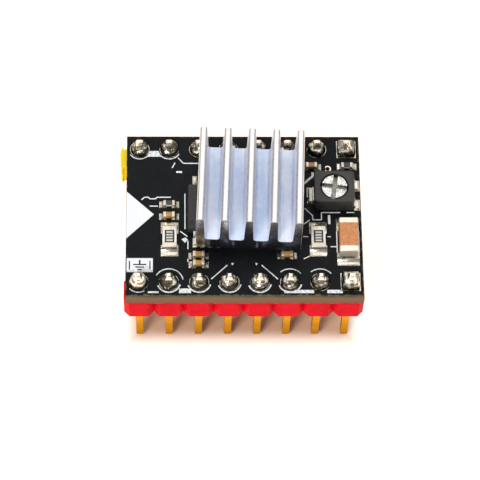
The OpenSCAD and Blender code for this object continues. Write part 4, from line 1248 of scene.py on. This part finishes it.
def chip_ends(parts, name, material, node, rounding):
    """Dipped ends with full rounded corners, a little proud of the body."""
    bm = bmesh.new()
    for part in parts:
        size = part["size"]
        for side in (-1, 1):
            own = bmesh.new()
            block(own, (side * (size[0] - part["end"]) / 2, 0, size[2] / 2), (part["end"], size[1], size[2]))
            outer = [e for e in own.edges if any(v.co.x * side > size[0] / 2 - 1e-3 for v in e.verts)]
            soften(own, rounding, 3, edges=outer)
            join(bm, own, at(*part["at"], Z_TOP + SEAT, part["turn"]))
    piece(bm, name, [material], [node])


class DRIVER_OT_resistors(bpy.types.Operator):
    """Fires the resistors, glazes their tops and plates their ends"""
    bl_idname = "driver_module.resistors"
    bl_label = "Resistors"

    def execute(self, context):
        white, glaze, paint = alumina(), black_glaze(), marking_paint()
        parts = chip_parts()
        for kind, few, edge in (("sense", parts[1:3], 0.22), ("small", parts[8:], 0.03)):
            chip_body(few, f"{kind}_resistor_ceramics", white, f"{kind}_resistor_bodies", 0.03)
            chip_ends(few, f"{kind}_resistor_terminals", tin(), f"{kind}_resistor_ends", 0.05)
            self.coats(kind, few, edge, glaze)
        self.bars(parts[1:3], paint)
        return {"FINISHED"}

    def coats(self, kind, parts, edge, glaze):
        bm = bmesh.new()
        for part in parts:
            size = part["size"]
            extent = (size[0] - 2 * part["end"] - 0.02, size[1] - 2 * edge, 0.027)
            slab(bm, part, (0, 0, size[2] - 0.0165), extent, 0.012)
        piece(bm, f"{kind}_resistor_glazes", [glaze], [f"{kind}_resistor_coats"])

    def bars(self, parts, paint):
        """Four plain printed bars across each sense resistor."""
        bm = bmesh.new()
        for part in parts:
            for i in range(4):
                slab(bm, part, ((i - 1.5) * 0.26, 0, part["size"][2]), (0.15, 0.52, 0.012), 0.004, 1)
        piece(bm, "sense_resistor_marks", [paint])


# ---- stage ----

# How far the soft boxes stand from the module, in metres.
LAMP_DISTANCE = 2.0


def bearing(azimuth, elevation):
    """The direction from the module to a lamp or the camera."""
    return Vector((math.sin(azimuth) * math.cos(elevation), -math.cos(azimuth) * math.cos(elevation),
                   math.sin(elevation)))


def turned_back(direction):
    """The turn that makes a lamp or the camera look back at the module."""
    return direction.to_track_quat("Z", "Y").to_matrix().to_4x4()


class DRIVER_OT_stage(bpy.types.Operator):
    """Sets up the floor, the soft lights, the sky and the camera"""
    bl_idname = "driver_module.stage"
    bl_label = "Stage"

    def execute(self, context):
        settings = context.scene.driver_stage
        self.floor(settings)
        self.sky(context.scene)
        self.lights(context.scene)
        self.camera(context.scene, settings)
        context.scene.view_settings.view_transform = "Standard"
        return {"FINISHED"}

    def floor(self, settings):
        # Tan acrylic sheet, made to glow near white all round the module's own footprint, so that only the
        # part under the module stays brown, as a painted shade.
        made, tree, shader, place = start("Floor sheet with painted shade under the module")
        tooth = add(tree, "TexNoise", {"Vector": place, "Scale": per(0.8), "Detail": 2.0})
        bump = add(tree, "Bump", {"Height": tooth, "Distance": 0.01 * MM, "Strength": 0.3})
        nearest = past_edge(tree, place, cad_high)
        # Painted shade: the glow fades out under the module's footprint, leaving the tan there.
        glow_round_painted_shade = add(tree, "MapRange", {0: nearest, 1: -1.7 * MM, 2: 0.4 * MM, 3: 0.0, 4: 0.84},
                   interpolation_type="SMOOTHSTEP")
        feed(tree, shader, {"Base Color": settings.floor_shade_colour, "Roughness": 0.6, "IOR": 1.49,
                            "Emission Color": linear("#fffdfb"), "Emission Strength": glow_round_painted_shade,
                            "Normal": bump})
        bm = bmesh.new()
        bmesh.ops.create_circle(bm, cap_ends=True, radius=3.0, segments=96)
        mesh = bpy.data.meshes.new("floor")
        bm.to_mesh(mesh)
        bm.free()
        mesh.materials.append(made)
        floor = bpy.data.objects.new("floor", mesh)
        bpy.context.scene.collection.objects.link(floor)

    def sky(self, scene):
        """A dim room above a pale backdrop, which only the camera sees."""
        world = bpy.data.worlds.new("Studio room")
        world.use_nodes = True
        tree = world.node_tree
        tree.nodes.clear()
        place = add(tree, "TexCoord").outputs["Generated"]
        axes = add(tree, "SeparateXYZ", {0: place})
        room = add(tree, "MapRange", {0: axes.outputs[1], 1: -0.9, 2: 0.6, 3: 0.25, 4: 0.5})
        seen = add(tree, "LightPath").outputs["Is Camera Ray"]
        strength = add(tree, "Mix", {0: seen, 2: room, 3: 1.0}, data_type="FLOAT")
        light = add(tree, "Background", {"Color": linear("#fbfcff"), "Strength": strength})
        add(tree, "OutputWorld", {"Surface": light})
        scene.world = world

    def lights(self, scene):
        """Soft boxes: a wide one overhead towards the back, and a key in front on the left."""
        for name, side, azimuth, elevation, power in (("overhead_softbox", 2.4, 180, 70, 20),
                                                      ("key_softbox", 0.7, -34, 44, 27)):
            away = bearing(math.radians(azimuth), math.radians(elevation))
            data = bpy.data.lights.new(name, "AREA")
            data.shape = "SQUARE"
            data.size = side
            data.energy = power
            box = bpy.data.objects.new(name, data)
            box.matrix_world = Matrix.Translation(away * LAMP_DISTANCE) @ turned_back(away)
            scene.collection.objects.link(box)

    def camera(self, scene, settings):
        """Looks at the board from the front and above, as the settings say."""
        data = bpy.data.cameras.new("camera")
        data.sensor_width = 36
        data.lens = 175.44
        data.clip_start = 0.01
        cam = bpy.data.objects.new("camera", data)
        target = Vector((-0.35, -2.42, Z_TOP)) * MM
        back = bearing(settings.azimuth, settings.elevation)
        turn = turned_back(back) @ Matrix.Rotation(settings.roll, 4, "Z")
        cam.matrix_world = Matrix.Translation(target + back * settings.distance) @ turn
        scene.collection.objects.link(cam)
        scene.camera = cam


# ---- panel and registration ----

SETTINGS = {"driver_board": BoardSettings, "driver_headers": HeaderSettings, "driver_pins": PinSettings,
            "driver_solder": SolderSettings, "driver_chip": ChipSettings,
            "driver_heatsink": HeatsinkSettings, "driver_trimmer": TrimmerSettings,
            "driver_parts": PartSettings, "driver_stage": StageSettings}
STEPS = [DRIVER_OT_stage, DRIVER_OT_board, DRIVER_OT_headers, DRIVER_OT_pins, DRIVER_OT_pin_joints,
         DRIVER_OT_chip_joints, DRIVER_OT_driver_chip, DRIVER_OT_heatsink, DRIVER_OT_trimmer,
         DRIVER_OT_capacitors, DRIVER_OT_resistors]


class DRIVER_PT_module(bpy.types.Panel):
    """Lists the steps that build the module and the settings that they read"""
    bl_idname = "DRIVER_PT_module"
    bl_label = "Driver Module"
    bl_space_type = "VIEW_3D"
    bl_region_type = "UI"
    bl_category = "Driver Module"

    def draw(self, context):
        for step in STEPS:
            self.layout.operator(step.bl_idname)
        for name in SETTINGS:
            box = self.layout.box()
            group = getattr(context.scene, name)
            for key in group.bl_rna.properties.keys():
                if key not in ("rna_type", "name"):
                    box.prop(group, key)


def register():
    for group in SETTINGS.values():
        bpy.utils.register_class(group)
    for step in STEPS + [DRIVER_PT_module]:
        bpy.utils.register_class(step)
    for name, group in SETTINGS.items():
        setattr(bpy.types.Scene, name, PointerProperty(type=group))


def unregister():
    for name in SETTINGS:
        delattr(bpy.types.Scene, name)
    for step in STEPS + [DRIVER_PT_module]:
        bpy.utils.unregister_class(step)
    for group in SETTINGS.values():
        bpy.utils.unregister_class(group)


def main():
    register()
    for step in STEPS:
        group, name = step.bl_idname.split(".")
        getattr(getattr(bpy.ops, group), name)()


if __name__ == "__main__":
    main()
